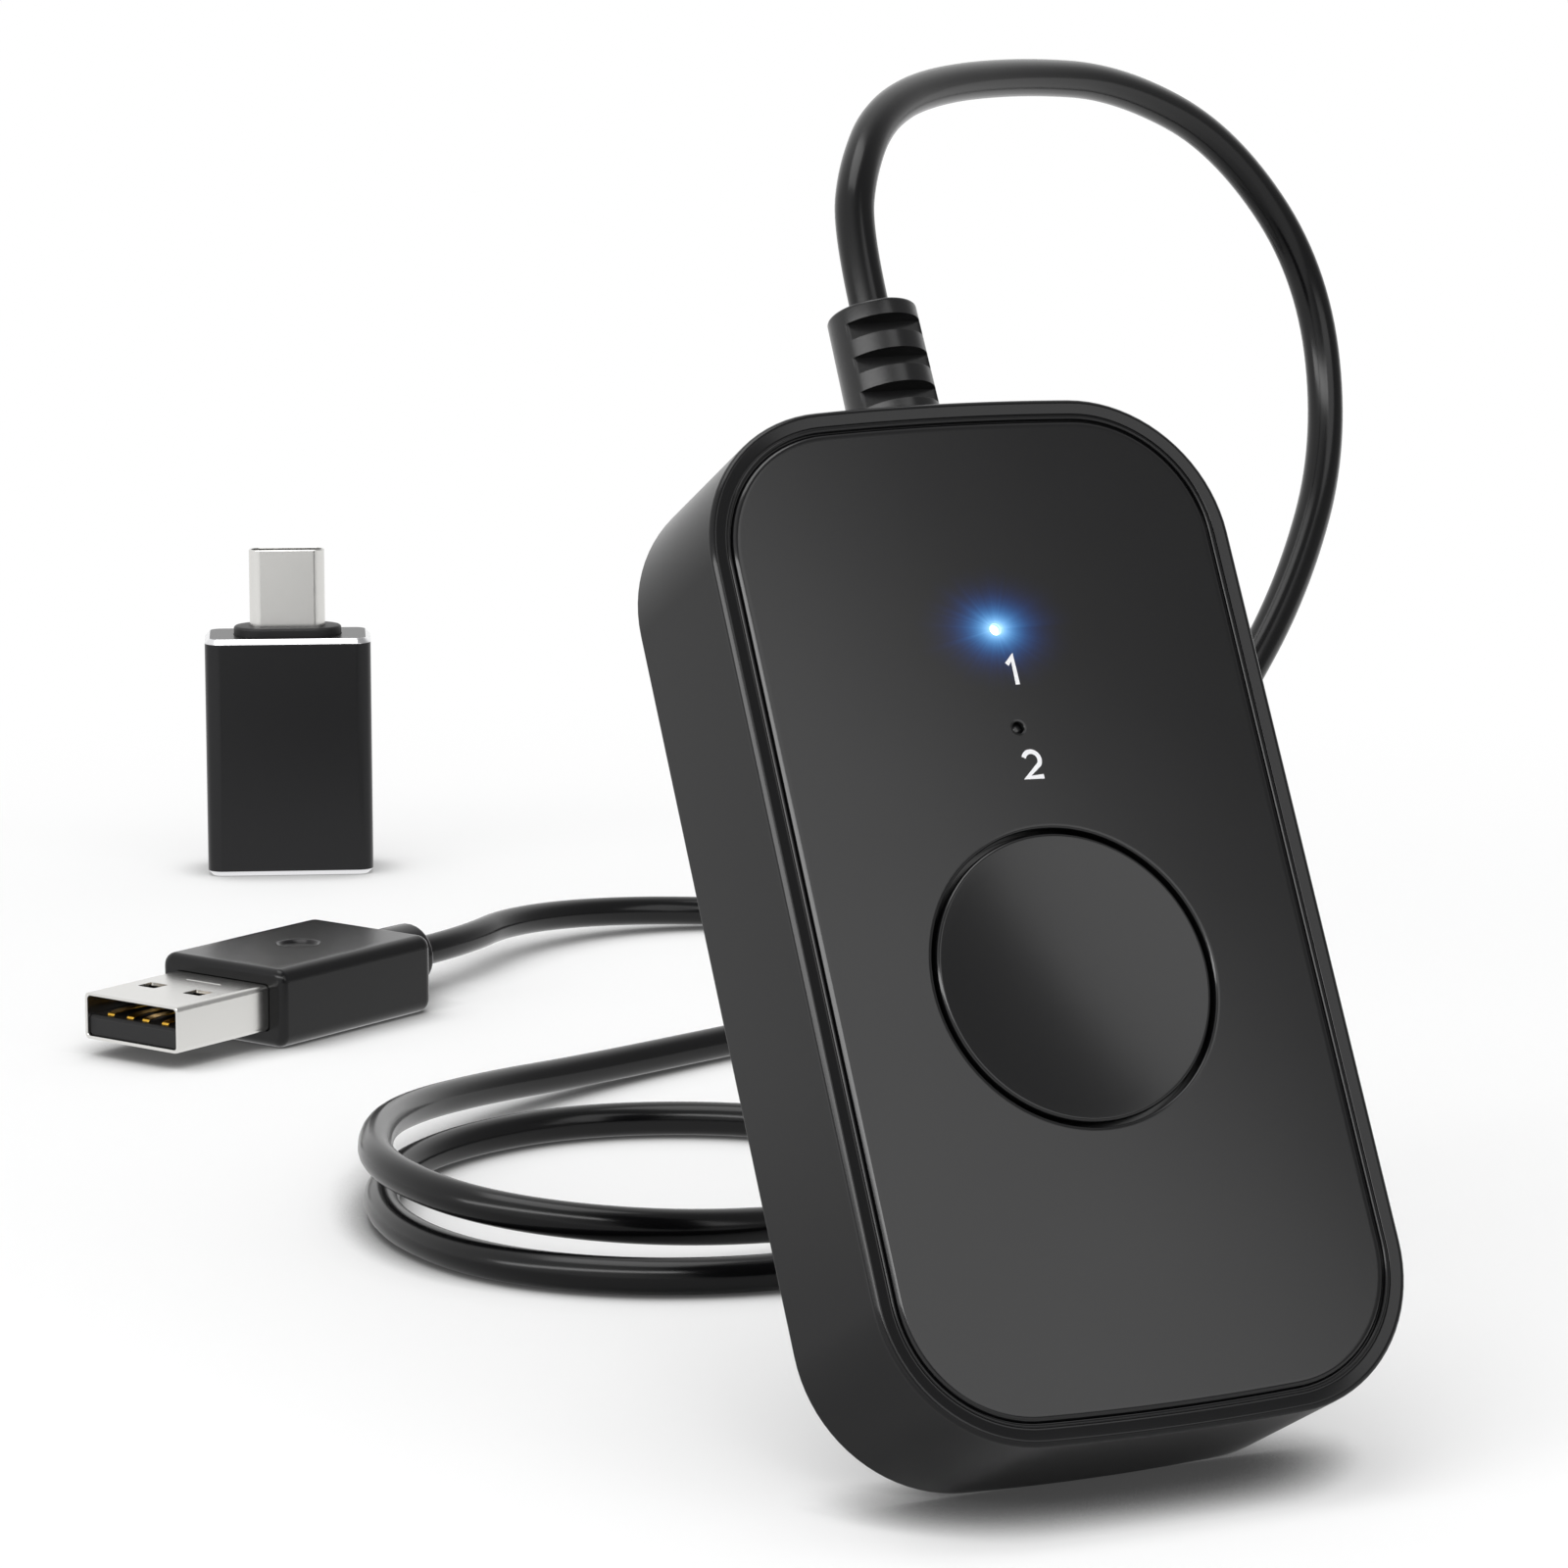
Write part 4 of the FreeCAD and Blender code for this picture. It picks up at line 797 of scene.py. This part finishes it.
def stroke(bm, points, width):
    """A flat ribbon of even width along a path, with mitred corners and square ends."""
    sides = []
    for i, point in enumerate(points):
        ways = [(Vector(points[k + 1]) - Vector(points[k])).normalized()
                for k in (i - 1, i) if 0 <= k < len(points) - 1]
        mean = sum(ways, Vector((0, 0))).normalized()
        half = width / 2 / max(LABEL_MITRE, mean.dot(ways[0]))
        aside = Vector((-mean.y, mean.x)) * half
        sides.append(level_loop(bm, (Vector(point) + aside, Vector(point) - aside), 0))
    for a, b in zip(sides, sides[1:]):
        bm.faces.new((a[0], a[1], b[1], b[0]))


def build_labels():
    """The numerals 1 and 2, pad-printed under the indicator holes; sizes are shares of a height."""
    high = bpy.context.scene.jiggler_housing.label_height / MM
    bowl, top = 0.29, 0.46
    one = [(-0.24, 0.22), (0, top), (0, -0.5)]
    two = arc((0, top - bowl), bowl, math.radians(160), math.radians(-35), BOWL_STEPS)
    two += [(-bowl, -0.42), (bowl * 1.1, -0.42)]
    for name, path, middle in zip(("label_1", "label_2"), (one, two), LABEL_AT):
        bm = bmesh.new()
        stroke(bm, [(x * high, y * high) for x, y in path], high * LABEL_WEIGHT)
        add_piece(name, bm, housing_place() @ Matrix.Translation((*middle, INK_T)),
                  [printed_ink()])


def build_lights():
    """Clear pins behind the two holes: the upper one lit, the lower one dark."""
    shoulder = -PANEL_T - PLAY
    profile = [(0, PIN_LOW), (PIN_R, PIN_LOW), (PIN_R, shoulder), (PIN_TIP[0][0], shoulder),
               *PIN_TIP]
    for which, (name, material) in enumerate((("upper", lit_acrylic()), ("lower", dark_acrylic()))):
        bm = bmesh.new()
        lathe(bm, profile, light_y(which), PIN_STEPS)
        add_piece(name + "_pin", bm, housing_place(), [material],
                  stands_for=[name + "_light_guide"])


def build_strain_relief():
    """A round boot whose slots are cut square across its front and back."""
    length = housing_sizes()[1]
    rows = [(-WALL - BOOT_FLANGE, BOOT_R, False), (-WALL - NECK_GAP, BOOT_R, False),
            (-WALL - NECK_GAP, NECK_R, False), (0, NECK_R, False), (0, BOOT_R, False)]
    for i in reversed(range(SLOT_COUNT)):
        middle = BOOT_L - SLOT_FIRST - i * SLOT_PITCH
        low, high = middle - SLOT_H / 2, middle + SLOT_H / 2
        rows += [(y, BOOT_R + (BOOT_TIP_R - BOOT_R) * y / BOOT_L, cut)
                 for y, cut in ((low, False), (low, True), (high, True), (high, False))]
    rows += [(y, r, False) for r, y in quarter_round(
        (BOOT_TIP_R, BOOT_L - BOOT_ROUND), (BOOT_TIP_R - BOOT_ROUND, BOOT_L), (BOOT_TIP_R, BOOT_L))]
    bm = bmesh.new()
    loops = []
    for y, radius, cut in rows:
        floor = SLOT_FLOOR if cut else radius
        loops.append(loop(bm, [(x, length / 2 + y, LEAD_Z + max(-floor, min(floor, z)))
                               for x, z in circle(radius, BOOT_STEPS)]))
    skin(bm, loops)
    fill(bm, loops[0])
    fill(bm, loops[-1])
    add_piece("boot", bm, housing_place(), [soft_elastomer("Elastomer boot", 0.24, 0.45)],
              stands_for=["strain_relief"], bevel=0.1)


# ---- cord ----
def cord_points():
    """The route's points in metres, its ends square to the strain relief and to the collar."""
    place, out = housing_place(), housing_sizes()[1] / 2 + BOOT_L
    back = -SHELL_OUT - MOULD_L - COLLAR_OUT
    start = [place @ Vector((0, y, LEAD_Z)) for y in (out, out + FIRST_RUN)]
    end = [PLUG_PLACE @ Vector((x, 0, MOULD_H / 2)) for x in (back - LAST_RUN, back)]
    return start + [Vector(p) * MM for p in RISE + LOOPS + TAIL] + end


def build_cord():
    """One jacketed cord from the strain relief, in an arc behind the housing, to the plug."""
    settings = bpy.context.scene.jiggler_cord
    points = cord_points()
    curve = bpy.data.curves.new("cord", "CURVE")
    curve.dimensions = "3D"
    spline = curve.splines.new("NURBS")
    spline.points.add(len(points) - 1)
    for target, point in zip(spline.points, points):
        target.co = (*point, 1)
    spline.order_u = 3
    spline.use_endpoint_u = True
    spline.resolution_u = 14
    curve.bevel_depth = settings.diameter / 2
    curve.bevel_resolution = 8
    curve.use_fill_caps = True
    curve.materials.append(extruded_jacket())
    cord = add_object("cord", curve)
    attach(cord, "fixed")
    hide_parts("cord_rise", "cord_loops", "cord_tail")


# ---- plug ----
def build_plug_body():
    """Moulded grip with soft edges, a plain round dimple on top and the collar round the cord."""
    front, back = -SHELL_OUT, -SHELL_OUT - MOULD_L
    around = 4 * (MOULD_STEPS + 1)
    bm = bmesh.new()

    def pocket(x, wider):
        play = POCKET_PLAY + wider
        return cross_loop(bm, rounded_rect(SHELL_W + play, SHELL_H + play, SHELL_R, MOULD_STEPS), x)

    def grip(x, inset):
        return cross_loop(bm, rounded_rect(MOULD_W - 2 * inset, MOULD_H - 2 * inset,
                                           MOULD_ROUND - inset, MOULD_STEPS), x)

    def collar(x, radius):
        return cross_loop(bm, circle(radius, around, start=math.pi / around), x)

    mouth, wider = POCKET_EDGE
    head = [pocket(front - SHELL_IN, 0), pocket(front - mouth, 0), pocket(front, wider)]
    head += [grip(front - v, u)
             for u, v in quarter_round((MOULD_FRONT, 0), (0, MOULD_FRONT), (0, 0))]
    tail = [grip(back + v, u) for u, v in quarter_round((0, MOULD_REAR), (MOULD_REAR, 0), (0, 0))]
    tail += [collar(back - v, u) for u, v in quarter_round(
        (COLLAR_R + COLLAR_ROOT, 0), (COLLAR_R, COLLAR_ROOT), (COLLAR_R, 0), FINE_STEPS)]
    tail += [collar(back - v, u) for u, v in quarter_round(
        (COLLAR_R, COLLAR_OUT - COLLAR_ROUND), (COLLAR_R - COLLAR_ROUND, COLLAR_OUT),
        (COLLAR_R, COLLAR_OUT))]
    tail += [collar(back - COLLAR_OUT + deep, CORD_HOLE_R) for deep in (0, CORD_HOLE_D)]
    top = MOULD_STEPS               # the side between the first two corners
    skin(bm, head)
    skin(bm, [head[-1], tail[0]], skip=[top])
    skin(bm, tail)
    fill(bm, head[0])
    fill(bm, tail[-1])
    mark = [(MARK_R + 2 * MARK_SOFT, 0), (MARK_R + MARK_SOFT, 0), (MARK_R, MARK_DROP),
            (MARK_R - MARK_WALL, MARK_D)]
    mark = [level_loop(bm, circle(r, MARK_STEPS, (front - MOULD_L / 2, 0)), MOULD_H - depth)
            for r, depth in mark]
    skin(bm, mark)
    fill(bm, mark[-1])
    corners = [head[-1][top], head[-1][top + 1], tail[0][top + 1], tail[0][top]]
    fill(bm, flat_border(bm, corners, MOULD_BORDER), mark[0])
    add_piece("plug_body", bm, PLUG_PLACE, [soft_elastomer("Elastomer grip", 0.2, 0.28)],
              stands_for=["plug_overmould"])


def build_plug_sleeve():
    """Folded steel sleeve with two latch windows, a crease and a dot above, and the same below."""
    middle = MOULD_H / 2
    back = -SHELL_OUT - SHELL_IN
    top, bottom = SHELL_STEPS, 3 * SHELL_STEPS + 2      # the flat sides' first corners
    bm = bmesh.new()

    def oblong(x, inset):
        return cross_loop(bm, rounded_rect(SHELL_W - 2 * inset, SHELL_H - 2 * inset,
                                           SHELL_R - inset / 2, SHELL_STEPS), x)

    outer = [oblong(-SHELL_EDGE, 0), oblong(back, 0)]
    inner = [oblong(back, SHELL_T), oblong(-SHELL_EDGE, SHELL_T)]
    lip = [oblong(0, SHELL_T - SHELL_EDGE), oblong(0, SHELL_EDGE)]
    skin(bm, outer, skip=[top, bottom])
    skin(bm, [outer[1], inner[0]])
    skin(bm, inner, skip=[top, bottom])
    skin(bm, [inner[1]] + lip + [outer[0]])
    window = rounded_rect(WINDOW_L, WINDOW_W, WINDOW_R, CUT_STEPS)
    cuts = [(-WINDOW_X, way * WINDOW_Y, window) for way in (-1, 1)]
    cuts.append((-SEAM_X, -SEAM_L / 2, circle(SEAM_DOT_R, SEAM_DOT_STEPS)))
    for side, at in ((1, top), (-1, bottom)):
        high, low = middle + side * SHELL_H / 2, middle + side * (SHELL_H / 2 - SHELL_T)
        holes = []
        for x0, y0, flat in cuts:
            holes.append([level_loop(bm, [(x0 + x, y0 + y) for x, y in flat], z)
                          for z in (high, low)])
            skin(bm, holes[-1])
        crest = []
        for inset, up in SEAM_CREST:
            flat = rounded_rect(SEAM_W - 2 * inset, SEAM_L - 2 * inset, SEAM_W / 2 - inset,
                                CUT_STEPS)
            crest.append(level_loop(bm, [(x - SEAM_X, y) for x, y in flat], high + side * up))
        skin(bm, crest)
        fill(bm, crest[-1])
        for (near, far), level in ((outer, 0), (inner, 1)):
            corners = [near[at], near[at + 1], far[at + 1], far[at]]
            fill(bm, flat_border(bm, corners, SHELL_BORDER), *[hole[level] for hole in holes])
    add_piece("plug_sleeve", bm, PLUG_PLACE, [plated_steel()],
              stands_for=["plug_shell"])


def build_plug_insert():
    """The insulator in the lower half of the sleeve, with the block that closes it behind."""
    inside = SHELL_H / 2 - SHELL_T - PLAY
    floor, top = MOULD_H / 2 - inside, MOULD_H / 2 + inside
    half = SHELL_W / 2 - SHELL_T - PLAY
    back = -SHELL_OUT - SHELL_IN
    rise = floor + TONGUE_H
    side = [(-TONGUE_BACK, floor), (-TONGUE_BACK, rise - TONGUE_CUT),
            (-TONGUE_BACK - TONGUE_CUT, rise), (-SHELL_OUT, rise), (-SHELL_OUT, top), (back, top),
            (back, floor)]
    bm = bmesh.new()
    rows = []
    for y in (-half, TONGUE_CUT - half, half - TONGUE_CUT, half):
        lift = TONGUE_FOOT if abs(y) == half else 0
        rows.append(loop(bm, [(x, y, z + lift if z == floor else z) for x, z in side]))
    skin(bm, rows)
    fill(bm, rows[0])
    fill(bm, rows[-1])
    add_piece("plug_insert", bm, PLUG_PLACE, [insulator("Glass-filled insulator", "#131314")],
              stands_for=["plug_tongue"], bevel=0.05)


def build_plug_strips():
    """Four gold strips that lie on the tongue, bow up and turn down at their ends."""
    level = MOULD_H / 2 - SHELL_H / 2 + SHELL_T + PLAY + TONGUE_H
    bm = bmesh.new()
    for y in CONTACT_Y:
        rows = []
        for x, up in CONTACT_PATH:
            half = CONTACT_HALF - (CONTACT_TAPER if x > CONTACT_TIP else 0)
            low, high = level + up, level + up + CONTACT_T
            rows.append(loop(bm, [(x, y - half, low), (x, y + half, low), (x, y + half, high),
                                  (x, y - half, high)]))
        skin(bm, rows)
        fill(bm, rows[0])
        fill(bm, rows[-1])
    add_piece("plug_strips", bm, PLUG_PLACE, [gold_plate()],
              stands_for=["plug_contacts"], bevel=0.02)


# ---- adapter ----
def oval(width, height, inset=0.0):
    """A flat-sided oblong with half-round ends, in which no two points meet."""
    height -= 2 * inset
    return rounded_rect(width - 2 * inset, height, height / 2 - OVAL_APART, ADAPTER_STEPS)


def build_adapter_sleeve():
    """Extruded sleeve, black, with bright cut chamfers at both ends."""
    bm = bmesh.new()

    def oblong(z, inset):
        return level_loop(bm, rounded_rect(SLEEVE_W - 2 * inset, SLEEVE_D - 2 * inset,
                                           SLEEVE_R - inset, ADAPTER_STEPS), z)

    rows = [oblong(0, SLEEVE_CHAMFER), oblong(SLEEVE_CHAMFER, 0),
            oblong(SLEEVE_H - SLEEVE_CHAMFER, 0), oblong(SLEEVE_H, SLEEVE_CHAMFER)]
    for face in skin(bm, rows[:2]) + skin(bm, rows[2:]):
        face.material_index = 1
    skin(bm, rows[1:3])
    roof = SLEEVE_H - SLEEVE_ROOF
    inside = [oblong(0, SLEEVE_T), oblong(roof, SLEEVE_T)]
    skin(bm, inside)
    skin(bm, [rows[0], inside[0]])
    mouth = [level_loop(bm, oval(NOSE_W, NOSE_D), z) for z in (roof, SLEEVE_H)]
    skin(bm, mouth)
    skin(bm, [rows[3], mouth[1]])
    skin(bm, [inside[1], mouth[0]])
    add_piece("adapter_body", bm, ADAPTER_PLACE, [anodised(), cut_aluminium()],
              stands_for=["adapter_sleeve"], bevel=0.04)


def build_adapter_nose():
    """The moulded collar round the small plug."""
    low, high = SLEEVE_H - NOSE_IN, SLEEVE_H + NOSE_H
    profile = [(PLAY, low), *quarter_round((PLAY, high - NOSE_ROUND), (PLAY + NOSE_ROUND, high),
                                           (PLAY, high), NOSE_STEPS)]
    bm = bmesh.new()
    outer = [level_loop(bm, oval(NOSE_W, NOSE_D, inset), z) for inset, z in profile]
    inner = [level_loop(bm, oval(TYPEC_W, TYPEC_H, -PLAY), z) for z in (high, low)]
    skin(bm, outer + inner, closed=True)
    add_piece("adapter_collar", bm, ADAPTER_PLACE, [insulator("Moulded collar", "#161617")],
              stands_for=["adapter_nose"])


def build_adapter_plug():
    """The small plug's drawn steel sleeve."""
    low, high = SLEEVE_H - NOSE_IN, SLEEVE_H + NOSE_H + TYPEC_OUT
    inner_edge = TYPEC_EDGE / 2
    profile = [(0, low), (0, high - TYPEC_EDGE), (TYPEC_EDGE, high), (TYPEC_T - inner_edge, high),
               (TYPEC_T, high - inner_edge), (TYPEC_T, low)]
    bm = bmesh.new()
    skin(bm, [level_loop(bm, oval(TYPEC_W, TYPEC_H, inset), z) for inset, z in profile],
         closed=True)
    add_piece("adapter_small_plug", bm, ADAPTER_PLACE, [plated_steel()],
              stands_for=["adapter_plug_shell"])


# ---- CAD nodes that stay ----
def finish_inner_pieces():
    """Gives each CAD node that stays its own finish."""
    nylon = insulator("Glass-filled nylon", "#17171A")
    steel = plated_steel()
    gold = gold_plate()
    finishes = {
        "rear_cover": moulded_abs("Moulded ABS cover", 0.4, grain=0.4, strength=0.3),
        "cover_screws": steel, "board_screws": steel, "circuit_board": solder_mask(),
        "switch_body": nylon, "switch_plate": steel,
        "switch_plunger": insulator("Switch plunger nylon", "#2A2A2C"), "switch_legs": steel,
        "upper_led": indicator_resin("Lit indicator resin", 3.0),
        "lower_led": indicator_resin("Indicator resin", 0.0),
        "microcontroller": tinned("Moulded epoxy chip", "#1B1B1C", beyond_chip_body),
        "crystal": steel,
        "chip_resistors": tinned("Resistor ceramic", "#1E1E20", on_end_faces),
        "chip_capacitors": tinned("Capacitor ceramic", "#8A6A45", on_end_faces),
        "wire_header": insulator("White nylon", "#D9D5C8"), "lead_wires": wire_insulation(),
        "cord_stub": extruded_jacket(), "adapter_plug_lining": nylon,
        "adapter_plug_contacts": gold, "adapter_port_frame": nylon, "adapter_port_shell": steel,
        "adapter_port_blade": nylon, "adapter_port_contacts": gold}
    for name, material in finishes.items():
        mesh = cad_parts[name].data
        mesh.materials.clear()
        mesh.materials.append(material)


# ---- stage ----
def add_softbox(name, level):
    """An area lamp whose face has the given brightness, where white paper in full light has 1."""
    place, target, size, roll = LAMPS[name]
    lamp = bpy.data.lights.new(name, "AREA")
    lamp.shape = "RECTANGLE"
    lamp.size, lamp.size_y = size
    lamp.energy = level * LAMP_SPREAD * size[0] * size[1]
    thing = add_object(name, lamp)
    thing.location = place
    thing.rotation_euler = (Vector(target) - thing.location).to_track_quat("-Z", "Y").to_euler()
    thing.rotation_euler.rotate_axis("Z", math.radians(roll))


def build_stage():
    """Camera, pale floor, white surroundings and soft lamps."""
    scene = bpy.context.scene
    camera = add_object("camera", bpy.data.cameras.new("camera"))
    camera.data.lens = CAMERA_LENS
    camera.data.sensor_width = CAMERA_SENSOR
    camera.data.clip_start, camera.data.clip_end = 0.01, 20
    camera.location = CAMERA_AT
    camera.rotation_euler = (math.radians(90 - CAMERA_TILT), 0, math.radians(-CAMERA_TURN))
    scene.camera = camera
    scene.view_settings.view_transform = "Standard"

    settings = scene.jiggler_stage
    bm = bmesh.new()
    bmesh.ops.create_circle(bm, cap_ends=True, radius=settings.floor_radius, segments=64)
    mesh = bpy.data.meshes.new("floor")
    bm.to_mesh(mesh)
    bm.free()
    mesh.materials.append(paper_sweep())
    add_object("floor", mesh)

    light_world(scene)
    add_softbox("key", settings.key_level)
    add_softbox("left", LEFT_LEVEL)
    add_softbox("top", TOP_LEVEL)


def paper_sweep():
    """White paper: it keeps the object's shadow near it, darkened further, as the camera sees it, by
    a painted contact shade where pieces close it in, and fades to plain white further off.
    """
    material, tree, in_mm = new_material("Seamless paper with painted contact shade")
    rays = add_node(tree, "LightPath")
    seen = rays["Is Camera Ray"]
    mirrored = add_node(tree, "Math", (rays["Is Glossy Ray"], rays["Is Transmission Ray"]),
                        operation="MAXIMUM")[0]
    fades = []
    for ray, (middle, start, end) in ((seen, FLOOR_FADE), (mirrored, MIRRORED_FADE)):
        away = add_node(tree, "VectorMath", (in_mm, middle), operation="DISTANCE")["Value"]
        fade = add_node(tree, "MapRange", {"Value": away, "From Min": start, "From Max": end},
                        interpolation_type="SMOOTHSTEP")["Result"]
        fades.append(add_node(tree, "Math", (fade, ray), operation="MULTIPLY")[0])
    fade = add_node(tree, "Math", fades, operation="MAXIMUM")[0]
    # painted shade: ambient occlusion darkens the paper's colour and its lift under and beside the
    # pieces, for camera rays only
    openness = add_node(tree, "AmbientOcclusion", {"Distance": CONTACT_REACH}, samples=8)["AO"]
    painted_shade = add_node(tree, "MapRange", {
        "Value": openness, "From Min": CONTACT_OPEN[0], "From Max": CONTACT_OPEN[1],
        "To Min": PAINTED_CONTACT_SHADE})["Result"]
    contact_painted_shade = add_node(tree, "Mix", {"Factor": seen, "A": 1.0, "B": painted_shade})["Result"]
    tone = add_node(tree, "Mix", {"Factor": contact_painted_shade, "A": (0, 0, 0, 1), "B": linear("#CACACA")},
                    data_type="RGBA")["Result"]
    near = seen
    for factor in (FLOOR_SEEN, contact_painted_shade):
        near = add_node(tree, "Math", (near, factor), operation="MULTIPLY")[0]
    lit = add_node(tree, "BsdfDiffuse", {"Color": tone})["BSDF"]
    lift, white = [add_node(tree, "Emission", {"Color": (1, 1, 1, 1),
                                               "Strength": strength})["Emission"]
                   for strength in (near, 1.0)]
    paper = add_node(tree, "AddShader", (lit, lift))["Shader"]
    faded = add_node(tree, "MixShader", (fade, paper, white))["Shader"]
    add_node(tree, "OutputMaterial", [faded])
    return material


def light_world(scene):
    """White surroundings for the camera and for gloss, and a softer light for matt surfaces."""
    world = bpy.data.worlds.new("White surroundings")
    scene.world = world
    world.use_nodes = True
    tree = world.node_tree
    tree.nodes.clear()
    rays = add_node(tree, "LightPath")
    seen = rays["Is Camera Ray"]
    for ray in ("Is Glossy Ray", "Is Transmission Ray"):
        seen = add_node(tree, "Math", (seen, rays[ray]), operation="MAXIMUM")[0]
    way = add_node(tree, "TexCoord")["Generated"]
    towards = add_node(tree, "VectorMath", (way, Vector(ROOM_WAY).normalized()),
                       operation="DOT_PRODUCT")["Value"]
    room = add_node(tree, "MapRange", {
        "Value": towards, "From Min": ROOM_EDGE[0], "From Max": ROOM_EDGE[1], "To Min": 1.0,
        "To Max": ROOM_LEVEL}, interpolation_type="SMOOTHSTEP")["Result"]
    level = add_node(tree, "Mix", {"Factor": seen, "A": AMBIENT, "B": room})["Result"]
    white = add_node(tree, "Background", {"Color": (1, 1, 1, 1), "Strength": level})["Background"]
    add_node(tree, "OutputWorld", {"Surface": white})


# ---- operators ----
class JIGGLER_OT_stage(bpy.types.Operator):
    """Set up the camera, the floor and the lamps"""
    bl_idname = "jiggler.stage"
    bl_label = "Stage"

    def execute(self, context):
        build_stage()
        return {"FINISHED"}


class JIGGLER_OT_housing(bpy.types.Operator):
    """Build the housing"""
    bl_idname = "jiggler.housing"
    bl_label = "Housing"

    def execute(self, context):
        build_housing()
        return {"FINISHED"}


class JIGGLER_OT_face(bpy.types.Operator):
    """Build the face with its printed numerals and its lights"""
    bl_idname = "jiggler.face"
    bl_label = "Face"

    def execute(self, context):
        build_panel()
        build_labels()
        build_lights()
        return {"FINISHED"}


class JIGGLER_OT_button(bpy.types.Operator):
    """Build the push button"""
    bl_idname = "jiggler.button"
    bl_label = "Button"

    def execute(self, context):
        build_button()
        return {"FINISHED"}


class JIGGLER_OT_boot(bpy.types.Operator):
    """Build the strain relief"""
    bl_idname = "jiggler.boot"
    bl_label = "Strain relief"

    def execute(self, context):
        build_strain_relief()
        return {"FINISHED"}


class JIGGLER_OT_plug(bpy.types.Operator):
    """Build the plug"""
    bl_idname = "jiggler.plug"
    bl_label = "Plug"

    def execute(self, context):
        build_plug_body()
        build_plug_sleeve()
        build_plug_insert()
        build_plug_strips()
        return {"FINISHED"}


class JIGGLER_OT_cord(bpy.types.Operator):
    """Lay the cord"""
    bl_idname = "jiggler.cord"
    bl_label = "Cord"

    def execute(self, context):
        build_cord()
        return {"FINISHED"}


class JIGGLER_OT_adapter(bpy.types.Operator):
    """Build the plug adapter"""
    bl_idname = "jiggler.adapter"
    bl_label = "Adapter"

    def execute(self, context):
        build_adapter_sleeve()
        build_adapter_nose()
        build_adapter_plug()
        return {"FINISHED"}


class JIGGLER_OT_inner(bpy.types.Operator):
    """Give the inner pieces their finishes"""
    bl_idname = "jiggler.inner"
    bl_label = "Inner pieces"

    def execute(self, context):
        finish_inner_pieces()
        return {"FINISHED"}


STEPS = (JIGGLER_OT_stage, JIGGLER_OT_housing, JIGGLER_OT_face, JIGGLER_OT_button,
         JIGGLER_OT_boot, JIGGLER_OT_plug, JIGGLER_OT_cord, JIGGLER_OT_adapter, JIGGLER_OT_inner)
SETTINGS = {"jiggler_housing": HousingSettings, "jiggler_cord": CordSettings,
            "jiggler_finish": FinishSettings, "jiggler_stage": StageSettings}


class JIGGLER_PT_pieces(bpy.types.Panel):
    """Lists the pieces and their settings"""
    bl_idname = "JIGGLER_PT_pieces"
    bl_label = "Mouse jiggler"
    bl_space_type = "VIEW_3D"
    bl_region_type = "UI"
    bl_category = "Jiggler"

    def draw(self, context):
        for name in SETTINGS:
            group = getattr(context.scene, name)
            for prop in group.__annotations__:
                self.layout.prop(group, prop)
        for step in STEPS:
            self.layout.operator(step.bl_idname)


def register():
    for name, group in SETTINGS.items():
        bpy.utils.register_class(group)
        setattr(bpy.types.Scene, name, bpy.props.PointerProperty(type=group))
    for kind in (*STEPS, JIGGLER_PT_pieces):
        bpy.utils.register_class(kind)


def unregister():
    for kind in (JIGGLER_PT_pieces, *reversed(STEPS)):
        bpy.utils.unregister_class(kind)
    for name, group in SETTINGS.items():
        delattr(bpy.types.Scene, name)
        bpy.utils.unregister_class(group)


def main():
    register()
    bpy.ops.jiggler.stage()
    bpy.ops.jiggler.housing()
    bpy.ops.jiggler.face()
    bpy.ops.jiggler.button()
    bpy.ops.jiggler.boot()
    bpy.ops.jiggler.plug()
    bpy.ops.jiggler.cord()
    bpy.ops.jiggler.adapter()
    bpy.ops.jiggler.inner()
    bpy.context.view_layer.update()


if __name__ == "__main__":
    main()
